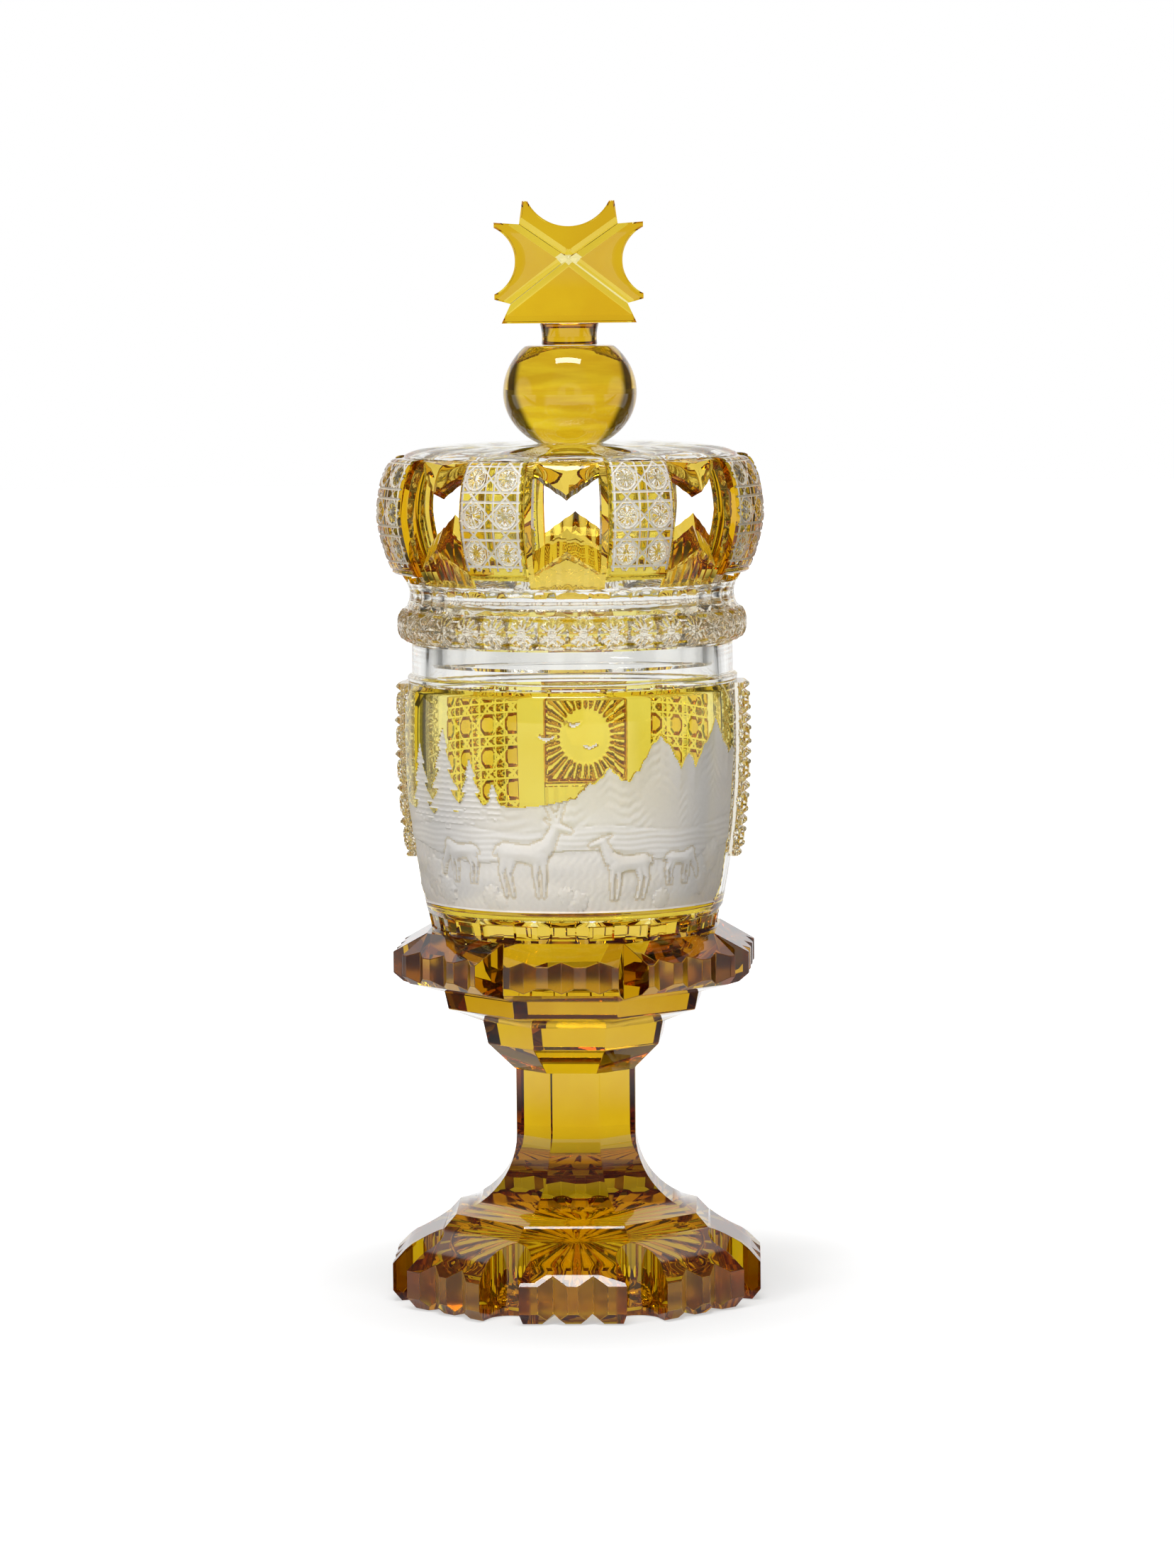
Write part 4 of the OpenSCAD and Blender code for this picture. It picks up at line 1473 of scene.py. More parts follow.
@dataclass
class CoverBase:
    """The spigot, the rosette rim and the clear band of the cover.

    Attributes:
        gap: air between the rim and the bowl's lip.
        spigot_ease: eased edge of the collar's bore.
        spigot_lead: width and height of the slope that leads the collar into the mouth.
        rim_bevel: how far the rim draws in at its edges.
        rim_curve: how late it does so.
        rosette_cells: cells across one rosette.
        rosette_flat: height of a rosette, as a share of its width.
        rosette_edge: how far a rosette's skin reaches past it.
        ray_depth: depth of the rays at their ends.
        pip: depth and radius of the cut in a rosette's middle.
        field_depth: depth of the ground between rosettes.
        notch: slope and depth of the notches in that ground.
        amber_band: heights, above and below the middle, between which the ground keeps its amber.
        band_sweep: how far the band draws in at its waist.
    """

    gap: float = 0.15
    spigot_r: float = 46.2
    spigot_wall: float = 3.4
    spigot_ease: float = 0.6
    spigot_lead: Span = (0.8, 1.0)
    spigot_step: float = 2.0
    bore_r: float = 46.8
    rim_r: float = 57.5
    rim_bevel: float = 2.2
    rim_curve: float = 2.6
    rim_rows: int = 25
    rosettes: int = 36
    rosette_cells: int = 24
    rosette_r: float = 4.6
    rosette_flat: float = 0.98
    rosette_rays: int = 12
    rosette_edge: float = 0.15
    ray_depth: float = 0.75
    pip: Span = (0.35, 1.2)
    field_depth: float = 0.5
    notch: Span = (0.9, 1.8)
    amber_band: Span = (3.6, 4.3)
    band_rows: int = 13
    band_sweep: float = 1.2
    facets: int = 40
    facet_d: float = 0.5

    def build(self) -> None:
        """Makes the three rings."""
        self.spigot()
        self.rim()
        self.band()

    def spigot(self) -> None:
        """Makes the collar that centres the cover."""
        z0, z1 = heights_of("cover_spigot")
        ro, ri, ease = self.spigot_r, self.spigot_r - self.spigot_wall, self.spigot_ease
        lead, lead_h = self.spigot_lead
        foot = [(ri, z0 + ease), (ri + ease, z0), (ro - lead, z0), (ro, z0 + lead_h)]
        loop = np.array([(ri, z1), *foot, (ro, z1), (ri, z1)])
        spin("cover_spigot", loop, (-1,), ALL_CLEAR, self.spigot_step)

    def rim(self) -> None:
        """Makes the ring of rosettes that rests on the bowl."""
        z0, z1 = heights_of("cover_rim")
        middle, half = (z0 + z1) / 2.0, (z1 - z0) / 2.0
        count = self.rosettes * self.rosette_cells
        turns = np.arange(count) * FULL_TURN / count
        rows = np.linspace(-1.0, 1.0, self.rim_rows)
        pitch = 2 * math.pi * self.rim_r / self.rosettes
        across = to_line(turns / FULL_TURN * self.rosettes, 1.0, 0.5) * pitch
        du, dv = np.meshgrid(across, rows * half, indexing="ij")
        depth, inside = self.rosette(du, dv)
        outer_r = self.rim_r - self.rim_bevel * np.abs(rows) ** self.rim_curve - depth
        outer_r[:, [0, -1]] = self.rim_r - self.rim_bevel - self.field_depth
        ri = self.spigot_r - self.spigot_wall
        before = np.array([(ri, z0), (self.spigot_r, z0), (self.spigot_r, z0 + self.gap)])
        after = np.array([(CROWN.foot_r, z1), (self.bore_r, z1), (ri, z1), (ri, z0)])
        flanks = [np.broadcast_to(part[:, 0], (count, len(part))) for part in (before, after)]
        radii = np.hstack([flanks[0], outer_r, flanks[1]])
        z_rows = middle + rows * half
        z_rows[0] += self.gap
        heights = np.concatenate([before[:, 1], z_rows, after[:, 1]])
        first, last = len(before), len(before) + len(rows) - 1
        low, high = self.amber_band
        amber = ~inside & (np.abs(dv) > low) & (np.abs(dv) < high)
        skins = np.full((count, radii.shape[1] - 1), Skin.CUT)
        skins[:, [0, last + 1]] = Skin.WELD
        skins[:, first:last] = np.where(amber[:, :-1], Skin.CASED, Skin.CUT)
        bm = ring_mesh(polar(radii, (turns + COVER_TURN)[:, None], heights), skins)
        place_piece("cover_rim", bm, RICH_CUT, Body.COVER)

    def rosette(self, du: Array, dv: Array) -> tuple[Array, Array]:
        """Works out one rosette and the ground round it.

        Args:
            du: distance from the rosette's middle round the rim.
            dv: distance from it along the rim's height.

        Returns:
            The depth of the cut, and whether a point lies in the rosette.
        """
        radius = np.hypot(du, dv * self.rosette_flat)
        inside = radius < self.rosette_r + self.rosette_edge
        rays = self.ray_depth * (1.0 - fan(du, dv, self.rosette_rays)) * unit(radius / self.rosette_r)
        pip = self.pip[0] * unit(1.0 - radius / self.pip[1])
        notch = np.clip((radius - self.rosette_r) * self.notch[0], 0.0, self.notch[1])
        return np.where(inside, rays + pip, self.field_depth + notch), inside

    def band(self) -> None:
        """Makes the clear band with its upright facets."""
        z0, z1 = heights_of("crown_band")
        rows = np.linspace(0.0, 1.0, self.band_rows)
        swell = np.sin(math.pi * rows)
        turns, scallop = scalloped(self.facets)
        r_out = CROWN.foot_r - self.band_sweep * swell - self.facet_d * np.outer(scallop, swell**0.5)
        inner = np.array([(CROWN.foot_r - CROWN.wall, z1), (self.bore_r, z1), (self.bore_r, z0)])
        tail = np.broadcast_to(inner[:, 0], (len(turns), len(inner)))
        radii = np.hstack([r_out, tail, r_out[:, :1]])
        heights = np.concatenate([z0 + rows * (z1 - z0), inner[:, 1], [z0]])
        skins = np.full((len(turns), radii.shape[1] - 1), Skin.CASED)
        skins[:, [len(rows) - 1, -1]] = Skin.WELD
        bm = ring_mesh(polar(radii, turns[:, None], heights), skins)
        place_piece("crown_band", bm, ALL_CLEAR, Body.COVER)


@dataclass
class CrownArcade:
    """The amber pierced wall of the crown, with an hourglass opening between straps.

    Attributes:
        side_h: height of an opening at its sides.
        middle_h: height at its middle.
        at: height of its middle above the band.
        fall: how far its lower edge slopes down, towards the outer face, per millimetre.
        rise: how far its upper edge slopes up.
        keel: how far the facets over an opening fall back from the keel between them.
        flute: depth of the upright flutes below.
        scallop: height of the scallops along an opening's edges.
        scallops: scallops from an opening's middle to its side.
        sharp: the smallest angle that shows as an edge.
    """

    hole_half_w: float = 11.0
    side_h: float = 23.0
    middle_h: float = 8.8
    at: float = 24.0
    fall: float = 1.4
    rise: float = 0.4
    low_rows: int = 10
    hole_rows: int = 8
    high_rows: int = 8
    columns: int = 24
    strap_columns: int = 8
    keel: float = 2.0
    flute: float = 0.7
    flute_columns: int = 4
    scallop: float = 0.3
    scallops: int = 3
    sharp: float = 24.0

    def build(self) -> None:
        """Makes the wall from a warped grid whose lines follow the openings."""
        z0, z1 = heights_of("crown_arcade")
        gap = LOBE_TURN / 2.0 - CROWN.strap_half
        hole = math.degrees(math.asin(self.hole_half_w / (CROWN.belly_r - CROWN.wall / 2.0)))
        across_hole = np.linspace(-hole, hole, self.columns + 1)
        behind_strap = np.linspace(gap, LOBE_TURN - gap, self.strap_columns + 1)
        one_lobe = np.concatenate([across_hole, behind_strap])
        local = np.concatenate([one_lobe + k * LOBE_TURN for k in range(LOBES)])
        off = np.abs(to_line(local, LOBE_TURN))
        side = unit(off / hole)
        outer, z_outer = self.grid(side, z1 - z0, 1.0)
        outer -= self.facets(side, off < hole + LEVEL_GAP)
        inner, z_inner = self.grid(side, z1 - z0, 0.0)
        turns = (FRONT + COVER_TURN + local)[:, None]
        points = np.stack([polar(outer, turns, z0 + z_outer), polar(inner, turns, z0 + z_inner)])
        columns, rows = outer.shape
        middle = to_line((local + np.append(local[1:], local[0] + FULL_TURN)) / 2.0, LOBE_TURN)
        open_cells = np.zeros((columns, rows - 1), dtype=bool)
        open_cells[np.abs(middle) < hole, self.low_rows:self.low_rows + self.hole_rows] = True
        bm = self.walls(points, open_cells, np.abs(middle) > gap)
        place_piece("crown_arcade", bm, ARCADE_AMBER, Body.COVER, sharp=self.sharp)

    def facets(self, side: Array, free: Array) -> Array:
        """Works out the facets that meet in a keel over each opening, and the upright flutes below.

        Args:
            side: 0 at the middle of an opening, 1 at its sides and beyond.
            free: whether the column lies across an opening.

        Returns:
            How far the outer face is cut back, one row per grid line.
        """
        rise, fade = np.linspace(0.0, 1.0, self.hole_rows + 1), np.linspace(1.0, 0.0, self.high_rows + 1)
        near = np.concatenate([np.zeros(self.low_rows), rise, fade[1:]])
        below = np.zeros(len(near))
        below[1:self.low_rows] = 1.0
        wave = 1.0 - 2.0 * np.abs(to_line(side * self.columns / 2.0 / self.flute_columns, 1.0))
        return np.outer(side * free, near) * self.keel + np.outer(wave * free, below) * self.flute

    def grid(self, side: Array, top: float, share: float) -> tuple[Array, Array]:
        """Lays out one face of the wall.

        Args:
            side: 0 at the middle of an opening, 1 at its sides and beyond.
            top: height of the wall.
            share: 0 for the inner face, 1 for the outer face.

        Returns:
            Radii and heights above the band, one row per grid line.
        """
        out = CROWN.wall * share
        reach = (self.middle_h + (self.side_h - self.middle_h) * side) / 2.0
        reach += self.scallop * np.abs(np.sin(side * math.pi * self.scallops))
        lower = (self.at - reach - self.fall * out)[:, None]
        upper = (self.at + reach + self.rise * out)[:, None]
        z = np.hstack([
            np.linspace(0.0, 1.0, self.low_rows + 1) * lower,
            lower + np.linspace(0.0, 1.0, self.hole_rows + 1)[1:] * (upper - lower),
            upper + np.linspace(0.0, 1.0, self.high_rows + 1)[1:] * (top - upper),
        ])
        return CROWN.radius(z) - CROWN.wall * (1.0 - share), z

    def walls(self, points: Array, open_cells: Array, under_strap: Array) -> Mesh:
        """Joins both faces round the openings and along the two weld edges.

        Args:
            points: outer and inner points.
            open_cells: cells that are pierced.
            under_strap: columns that a strap covers.

        Returns:
            The closed mesh.
        """
        index = np.arange(points[..., 0].size).reshape(points.shape[:3])
        index = np.concatenate([index, index[:, :1]], axis=1)
        solid = ~open_cells
        skin = np.where(under_strap[:, None], Skin.WELD, Skin.CASED)
        faces = [cells(index[0])[solid], cells(index[1])[solid]]
        skins = [np.broadcast_to(skin, solid.shape)[solid], np.full(int(solid.sum()), Skin.CUT)]
        for row in (0, -1):
            edge = cells(index[:, :, row]).reshape(-1, 4)
            faces.append(edge)
            skins.append(np.full(len(edge), Skin.WELD))
        i, j = np.nonzero(open_cells != np.roll(open_cells, 1, axis=0))
        uprights = [index[0, i, j], index[0, i, j + 1], index[1, i, j + 1], index[1, i, j]]
        i, j = np.nonzero(open_cells[:, 1:] != open_cells[:, :-1])
        j += 1
        sills = [index[0, i, j], index[0, i + 1, j], index[1, i + 1, j], index[1, i, j]]
        for corners in (uprights, sills):
            faces.append(np.stack(corners, axis=-1))
            skins.append(np.full(len(corners[0]), Skin.CASED))
        return mesh_of(points, np.concatenate(faces), np.concatenate(skins))


@dataclass
class CrownStraps:
    """The eight cane-cut straps of the crown.

    Attributes:
        out: how far they stand out.
        low: height of their lower end above the band.
        plinth: height of the plain foot below the pattern.
        plinth_line: half width and depth of the groove in that foot.
        row: height of the mesh's rows.
        way_steps: points by which a strap's curved length is measured.
    """

    out: float = 3.2
    low: float = 3.0
    plinth: float = 3.4
    plinth_line: Span = (0.6, 0.5)
    bevel: float = 0.8
    columns: int = 80
    row: float = 0.29
    way_steps: int = 800
    cut: CaneCut = STRAP_PATTERN

    def build(self) -> None:
        """Makes the straps one by one."""
        z0 = heights_of("crown_band")[1]
        fine = np.linspace(self.low, CROWN.low_h + CROWN.high_h, self.way_steps)
        steps = np.hypot(np.diff(CROWN.radius(fine, self.out)), np.diff(fine))
        way = np.concatenate([[0.0], np.cumsum(steps)])
        length = way[-1]
        width = 2 * math.radians(CROWN.strap_half) * (CROWN.belly_r + self.out)
        u, v = flat_grid(width, length, self.columns + 1, round(length / self.row) + 1)
        above = np.interp(v[0], way, fine)
        foot_line = groove(v - self.plinth / 2.0, *self.plinth_line)
        depth = np.where(v < self.plinth, foot_line, self.cut.carve(u, v - self.plinth)[0])
        edge = np.minimum.reduce([width / 2 - np.abs(u), v, length - v])
        depth = bevelled(depth, edge, self.bevel, self.bevel)
        plain = (middles(v) < self.plinth) | (np.abs(middles(u)) > width / 2 - self.bevel)
        skins = np.where(plain, Skin.CASED, self.cut.carve(middles(u), middles(v) - self.plinth)[1])
        spread = np.linspace(-CROWN.strap_half, CROWN.strap_half, self.columns + 1)
        for i in range(1, LOBES + 1):
            angles = FRONT + COVER_TURN + LOBE_TURN * (i - 0.5) + spread
            faces = raised(CROWN.radius(above, self.out), CROWN.radius(above), depth, angles, z0 + above)
            place_piece(f"crown_strap_{i}", sheet_mesh(*faces, skins), STRAP_CUT, Body.COVER)


@dataclass
class CrownDome:
    """The clear fluted top of the crown.

    Attributes:
        top_rings: radii of the rings of points on the flat top.
        flute_from: radius at which the flutes begin.
        flute_run: length over which they reach their depth.
        flute_end: length over which they run out at the edge.
    """

    wall: float = 4.5
    top_r: float = 30.0
    top_rings: Span = (22.0, 15.0)
    arc_steps: int = 20
    flutes: int = 16
    flute_d: float = 0.9
    flute_from: float = 13.0
    flute_run: float = 24.0
    flute_end: float = 0.4

    def build(self) -> None:
        """Makes the dome."""
        z0, z1 = heights_of("crown_arcade")[1], heights_of("crown_dome")[1]
        over = self.arc(self.top_r, CROWN.top_r, z0, z1)
        over += [(r, z1) for r in (*self.top_rings, KNOP_SEAT_R, 0.0)]
        inside = self.arc(self.top_r - self.wall, CROWN.top_r - CROWN.wall, z0, z1 - self.wall)
        loop = np.array(over + [(0.0, z1 - self.wall)] + inside[::-1] + [over[0]])
        turns, scallop = scalloped(self.flutes)
        over_r = loop[:len(over), 0]
        share = np.zeros(len(loop))
        share[:len(over)] = unit((over_r - self.flute_from) / self.flute_run)
        share[:len(over)] *= unit((CROWN.top_r - over_r) / self.flute_end)
        heights = loop[:, 1] - self.flute_d * np.outer(scallop, share)
        skins = np.full(len(loop) - 1, Skin.CASED)
        skins[[len(over) - 2, -1]] = Skin.WELD
        bm = ring_mesh(polar(loop[:, 0], turns[:, None], heights), skins)
        place_piece("crown_dome", bm, ALL_CLEAR, Body.COVER)

    def arc(self, top_r: float, edge_r: float, low: float, high: float) -> list[Span]:
        """Returns the points of a quarter oval, from the dome's edge up to its flat top."""
        turns = np.radians(np.linspace(0.0, 90.0, self.arc_steps))
        return [(top_r + (edge_r - top_r) * math.cos(a), low + (high - low) * math.sin(a)) for a in turns]


@dataclass
class Finial:
    """The ball knop, its neck and the cross.

    Attributes:
        step: angle between two profiles of ball and neck.
        knop_low_h: height of the ball's middle above its seat.
        knop_steps: points of the ball's curve below and above its middle.
        top_r: radius of the ball's flat top.
        shoulder: width and height of the eased edge there.
        dish: depth of the neck's seat.
        neck_taper: how much narrower the neck is below.
        neck_waist: how far the neck draws in between.
        gap: air above and below the neck.
        edge: width of the chamfer round the cross.
        walls_y: largest normal along Y of the cross's outer walls.
        broad_y: smallest normal along Y of its broad faces.
    """

    step: float = 3.0
    knop_r: float = 21.9
    knop_low_h: float = 16.5
    knop_steps: tuple[int, int] = (33, 31)
    top_r: float = 14.2
    shoulder: Span = (0.9, 0.25)
    dish: float = 0.05
    neck_r: float = 9.6
    neck_taper: float = 0.5
    neck_waist: float = 0.35
    neck_ease: float = 0.3
    neck_rows: int = 9
    gap: float = 0.08
    edge: float = 1.0
    merge: float = 0.1
    walls_y: float = 0.3
    broad_y: float = 0.97

    def build(self) -> None:
        """Makes the three pieces."""
        self.knop()
        self.neck()
        self.cross()

    def knop(self) -> None:
        """Makes the ball."""
        z0, z1 = heights_of("knop")
        low_h, high_h = self.knop_low_h, z1 - z0 - self.knop_low_h
        low_bend = low_h / math.sqrt(1.0 - (KNOP_SEAT_R / self.knop_r) ** 2)
        high_bend = high_h / math.sqrt(1.0 - (self.top_r / self.knop_r) ** 2)
        down = np.linspace(-math.asin(low_h / low_bend), 0.0, self.knop_steps[0])
        up = np.linspace(0.0, math.asin(high_h / high_bend), self.knop_steps[1])[1:]
        loop = [(0.0, z0)]
        for bend, turns in ((low_bend, down), (high_bend, up)):
            loop += [(self.knop_r * math.cos(a), z0 + low_h + bend * math.sin(a)) for a in turns]
        ease_in, ease_down = self.shoulder
        loop[-1] = (loop[-1][0], z1 - ease_down)
        loop += [(self.top_r - ease_in, z1), (self.neck_r, z1 - self.dish), (0.0, z1 - self.dish)]
        spin("knop", np.array(loop), (0,), ROUND_AMBER, self.step)

    def neck(self) -> None:
        """Makes the neck between ball and cross."""
        low, high = heights_of("finial_neck")
        z0, z1 = low + self.gap, high - self.gap
        rows = np.linspace(0.0, 1.0, self.neck_rows)
        radii = self.neck_r - self.neck_taper * (1.0 - rows) - self.neck_waist * np.sin(math.pi * rows)
        flank = list(zip(radii, z0 + self.neck_ease + rows * (z1 - z0 - 2.0 * self.neck_ease)))
        foot = [(0.0, z0), (radii[0] - self.neck_ease, z0)]
        head = [(radii[-1] - self.neck_ease, z1), (0.0, z1)]
        spin("finial_neck", np.array(foot + flank + head), (), ALL_AMBER, self.step)

    def cross(self) -> None:
        """Makes the cross from its node, with thin amber grooves and a chamfered outline."""
        bm = cad_mesh("cross")
        bmesh.ops.remove_doubles(bm, verts=bm.verts, dist=self.merge * MM)
        bmesh.ops.dissolve_degenerate(bm, dist=LEVEL_GAP * MM, edges=bm.edges)
        for face in bm.faces:
            face.normal_update()
            if self.walls_y < abs(face.normal.y) < self.broad_y:
                face.material_index = Skin.CUT
        outline = [edge for edge in bm.edges if self.on_outline(edge)]
        chamfer = {"offset": self.edge * MM, "segments": 1, "clamp_overlap": True}
        bmesh.ops.bevel(bm, geom=outline, affect="EDGES", **chamfer)
        place_piece("cross", bm, CROSS_AMBER, Body.COVER)

    def on_outline(self, edge: bmesh.types.BMEdge) -> bool:
        """Says whether an edge lies between a broad face of the cross and its outer wall."""
        facing = sorted(abs(face.normal.y) for face in edge.link_faces)
        return len(facing) == 2 and facing[0] < self.walls_y and facing[1] > self.broad_y


# The studio


@dataclass(frozen=True)
class Lamp:
    """A rectangular lamp that shines at the goblet.

    Attributes:
        size: its width and depth.
        power: in watts.
        mirrored: whether polished glass shows it.
    """

    name: str
    at: Triple
    size: Span
    power: float
    mirrored: bool = True

    def hang(self, aim_z: float) -> None:
        """Hangs the lamp, aimed at this height over the middle."""
        data = bpy.data.lights.new(self.name, "AREA")
        data.shape = "RECTANGLE"
        data.size, data.size_y = self.size
        data.energy = self.power
        lamp = bpy.data.objects.new(self.name, data)
        lamp.location = self.at
        lamp.rotation_euler = (Vector((0.0, 0.0, aim_z)) - lamp.location).to_track_quat("-Z", "Y").to_euler()
        lamp.visible_glossy = self.mirrored
        bpy.context.scene.collection.objects.link(lamp)


@dataclass
class Studio:
    """White floor and surround, soft lamps and the camera.

    Attributes:
        pitch: how far the camera looks down, in degrees.
        roll: how far it leans.
        lens: focal length in millimetres.
        sensor: width of the sensor in millimetres.
        clip: nearest and farthest distance that it sees.
        clear_bounces: how often light may pass a weld skin.
        floor_drop: how far the floor lies below the foot.
        floor_tone: grey of the white floor, which keeps the shadow.
        gap_tone: grey of its dark gaps.
        floor_glow: what the white floor adds to the light it scatters next to the foot, less than further
            out: a painted shadow round the foot.
        shadow: where that glow begins to rise from the foot outward, and is full.
        shadow_in_glass: the same as glass shows it.
        painted_light_spot: where the painted spot of light on the floor under the foot's star, which glass
            shows, fades and ends.
        far_floor: distances between which the floor's level changes for the glass.
        glass_glow: the level there, a step away and far off.
        table_front: where the white floor fades and ends towards the front, for the glass.
        gap_front: where the dark gap before the front screen fades and ends.
        gap_sides: where the dark gap before the side screens fades and ends, as a share of the way.
        walls: where the dark walls begin and are full, as a share of the way to the side.
        lean: how far the walls lean in over the goblet.
        dim: light level of the dark walls.
        rear: where the room ends and the white behind the goblet begins, as a share of the way back.
        room: light level of the room behind the camera, as matt faces meet it.
        sheen: the same level as glass shows it.
        canopy: where the dark canopy overhead begins and is full, as a share of the way up.
        screens: where the white screens ahead of and beside the goblet begin and are full.
        screen_level: their light level.
        lens_z: height of the gap that the front screen has for the lens, as a share of the way up.
        lens_gap: where that gap fades and ends.
        eye_z: height from which the walls are seen, and at which the lamps are aimed.
        lamps: a strip over the front, and a soft lamp at the left that models the engraving.
    """

    camera_at: Triple = (0.0044, -1.835, 0.350)
    pitch: float = 5.634
    roll: float = -0.53
    lens: float = 128.6
    sensor: float = 36.0
    clip: Span = (0.05, 50.0)
    bounces: int = 32
    clear_bounces: int = 64
    floor_r: float = 6.0
    floor_steps: int = 64
    floor_drop: float = 0.0002
    floor_tone: float = 0.5
    gap_tone: float = 0.08
    floor_glow: float = 0.46
    shadow: Span = (0.065, 0.22)
    shadow_in_glass: Span = (0.065, 0.36)
    painted_light_spot: Span = (0.030, 0.050)
    far_floor: Span = (0.9, 4.0)
    glass_glow: Span = (0.56, 0.76)
    table_front: Span = (-0.14, -0.34)
    gap_front: Span = (-0.36, -0.52)
    gap_sides: Span = (0.84, 0.90)
    walls: Span = (0.60, 0.74)
    lean: float = 0.41
    dim: float = 0.10
    rear: Span = (-0.35, 0.05)
    room: float = 1.25
    sheen: float = 0.12
    canopy: Span = (0.74, 0.90)
    screens: Span = (0.90, 0.96)
    screen_level: float = 0.75
    lens_z: float = 0.07
    lens_gap: Span = (0.08, 0.16)
    eye_z: float = 0.25
    lamps: tuple[Lamp, ...] = (
        Lamp("strip_lamp", (-0.05, -0.54, 1.6), (0.9, 0.28), 11.0),
        Lamp("key_lamp", (-1.1, -1.2, 0.95), (0.5, 0.5), 9.5, mirrored=False),
    )

    def build(self) -> None:
        """Sets up camera, floor, surround and lamps."""
        scene = bpy.context.scene
        scene.view_settings.view_transform = "Standard"
        scene.cycles.max_bounces = self.bounces
        scene.cycles.transmission_bounces = self.bounces
        scene.cycles.glossy_bounces = self.bounces
        scene.cycles.transparent_max_bounces = self.clear_bounces
        self.camera(scene)
        self.floor(scene)
        self.surround(scene)
        for lamp in self.lamps:
            lamp.hang(self.eye_z)

    def camera(self, scene: bpy.types.Scene) -> None:
        """Sets the camera at the photograph's viewing angle."""
        data = bpy.data.cameras.new("camera")
        data.lens = self.lens
        data.sensor_width = self.sensor
        data.clip_start, data.clip_end = self.clip
        camera = bpy.data.objects.new("camera", data)
        tilt = Matrix.Rotation(math.radians(90.0 - self.pitch), 4, "X")
        aim = tilt @ Matrix.Rotation(math.radians(self.roll), 4, "Z")
        camera.matrix_world = Matrix.Translation(Vector(self.camera_at)) @ aim
        scene.collection.objects.link(camera)
        scene.camera = camera

    def floor(self, scene: bpy.types.Scene) -> None:
        """Lays the white floor, which keeps the goblet's shadow."""
        bm = bmesh.new()
        bmesh.ops.create_circle(bm, cap_ends=True, segments=self.floor_steps, radius=self.floor_r)
        data = bpy.data.meshes.new("floor")
        bm.to_mesh(data)
        bm.free()
        data.materials.append(wired("floor_white", self.floor_shader))
        floor = bpy.data.objects.new("floor", data)
        floor.location.z = -self.floor_drop
        scene.collection.objects.link(floor)

    def floor_shader(self, kit: NodeMaker) -> Socket:
        """Wires the floor: white with the goblet's shadow and a painted shadow round the foot, with dark gaps
        and a painted light spot under the foot as glass shows it.
        """
        rays = kit.add("ShaderNodeLightPath").outputs
        place = kit.add("ShaderNodeNewGeometry").outputs["Position"]
        sight = kit.vector("NORMALIZE", kit.vector("SUBTRACT", place, (0.0, 0.0, self.eye_z)))
        aside = kit.math("ABSOLUTE", kit.split(sight)["X"])
        beside = kit.times(kit.ramp(aside, self.walls), kit.ramp(aside, self.gap_sides, FADE))
        ahead = kit.split(place)["Y"]
        front = kit.times(kit.ramp(ahead, self.table_front), kit.ramp(ahead, self.gap_front, FADE))
        off_table = kit.larger(beside, kit.times(front, kit.rest(rays["Is Camera Ray"])))
        tone = kit.blend(off_table, (self.floor_tone,) * 3, (self.gap_tone,) * 3)
        away = kit.vector("LENGTH", place)
        # Painted shadow: the floor's glow is lower near the foot, for the camera and for the glass.
        white = kit.ramp(away, self.shadow, (self.floor_glow, 1.0))
        under = kit.ramp(away, self.shadow_in_glass, (self.floor_glow, 1.0))
        # Painted light: a glowing spot on the floor under the foot's star, which only glass shows.
        under = kit.larger(under, kit.ramp(away, self.painted_light_spot, FADE))
        distant = kit.ramp(away, self.far_floor, self.glass_glow)
        shown = kit.times(kit.times(kit.rest(off_table), under), distant)
        glow = kit.larger(kit.times(rays["Is Camera Ray"], white), kit.times(self.in_glass(kit, rays), shown))
        both = kit.add("ShaderNodeAddShader")
        kit.join(kit.shade("ShaderNodeBsdfDiffuse", {"Color": tone}), both.inputs[0])
        kit.join(kit.shade("ShaderNodeEmission", {"Strength": glow}), both.inputs[1])
        return both.outputs[0]

    def in_glass(self, kit: NodeMaker, rays: Outputs) -> Socket:
        """Returns 1 for light that glass reflects or lets through."""
        return kit.larger(rays["Is Glossy Ray"], rays["Is Transmission Ray"])

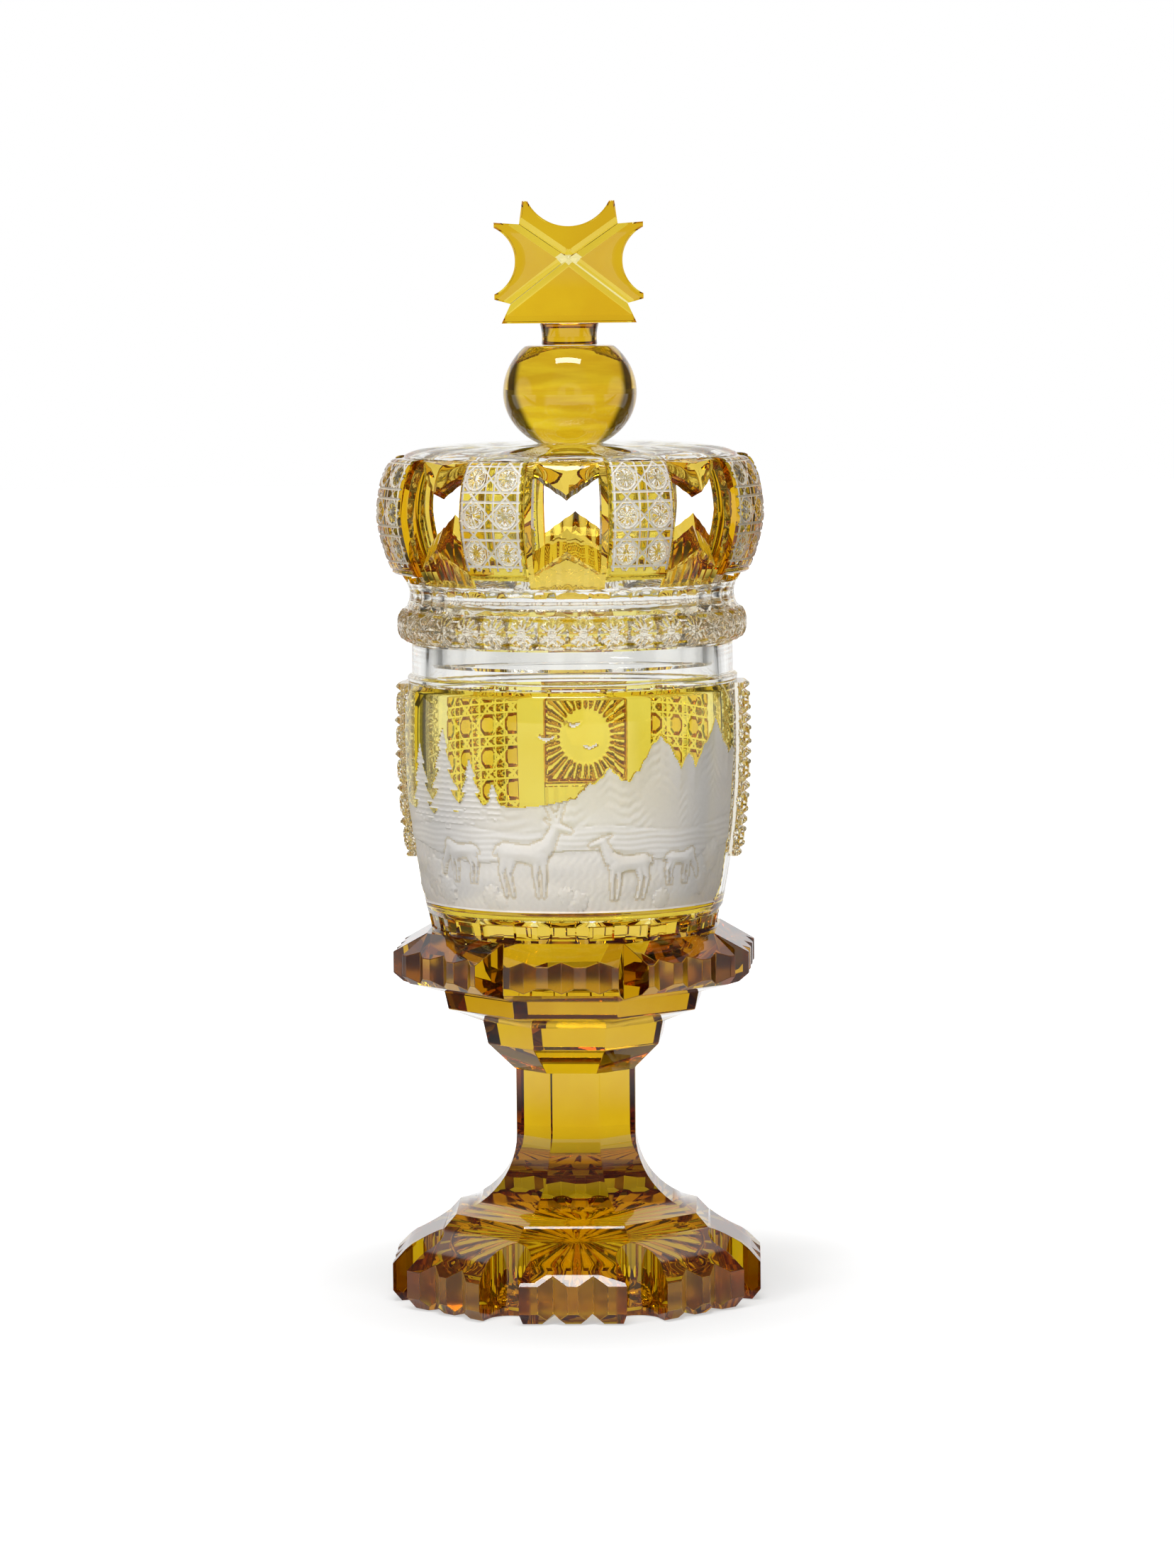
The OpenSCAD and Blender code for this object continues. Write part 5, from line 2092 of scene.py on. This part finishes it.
    def surround(self, scene: bpy.types.Scene) -> None:
        """Makes the world: white to the camera, bright screens with dim gaps to the glass."""
        world = bpy.data.worlds.new("studio")
        scene.world = world
        world.use_nodes = True
        kit = NodeMaker(world.node_tree)
        x, y, z = kit.split(kit.add("ShaderNodeTexCoord").outputs["Generated"])
        rays = kit.add("ShaderNodeLightPath").outputs
        aside = kit.math("ABSOLUTE", x)
        in_glass = self.in_glass(kit, rays)
        leaning = kit.math("ADD", aside, kit.times(kit.larger(z, 0.0), self.lean))
        between_walls = kit.ramp(leaning, self.walls, FADE)
        room = kit.math("SUBTRACT", self.room, kit.times(in_glass, self.room - self.sheen))
        rear = kit.ramp(y, self.rear)
        onward = kit.math("ADD", rear, kit.times(kit.rest(rear), room))
        open_sky = kit.larger(kit.ramp(z, self.canopy, FADE), kit.rest(in_glass))
        lit = kit.times(between_walls, kit.times(onward, open_sky))
        level = kit.math("ADD", kit.times(lit, 1.0 - self.dim), self.dim)
        screens = kit.ramp(kit.larger(aside, kit.times(y, -1.0)), self.screens, (0.0, self.screen_level))
        from_lens = kit.math("ABSOLUTE", kit.math("SUBTRACT", z, self.lens_z))
        at_lens = kit.times(kit.ramp(from_lens, self.lens_gap, FADE), kit.ramp(aside, self.lens_gap, FADE))
        level = kit.larger(level, kit.times(screens, kit.rest(at_lens)))
        strength = kit.larger(level, rays["Is Camera Ray"])
        glow = kit.shade("ShaderNodeBackground", {"Color": (*WHITE, 1.0), "Strength": strength})
        kit.join(glow, kit.add("ShaderNodeOutputWorld").inputs["Surface"])


def main() -> None:
    """Builds the goblet, its cover and the studio."""
    logging.basicConfig(level=logging.INFO, format="%(name)s %(message)s")
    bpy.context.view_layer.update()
    stages: list[Callable[[], None]] = [
        Foot().build,
        StemAndCalyx().build,
        Bowl().build,
        PicturePanel().build,
        *[CutPanel(site, SIDE_CUT, Slot.CLEAR, Skin.CUT, finishes=RICH_CUT).build for site in SIDES],
        *[CutPanel(site, LATTICE_CUT, Slot.AMBER, cell=0.33).build for site in LATTICES],
        CutPanel(SUNBURST, SunCut(), Slot.AMBER, cell=0.27).build,
        CoverBase().build,
        CrownArcade().build,
        CrownStraps().build,
        CrownDome().build,
        Finial().build,
        Studio().build,
    ]
    for stage in stages:
        stage()


if __name__ == "__main__":
    main()
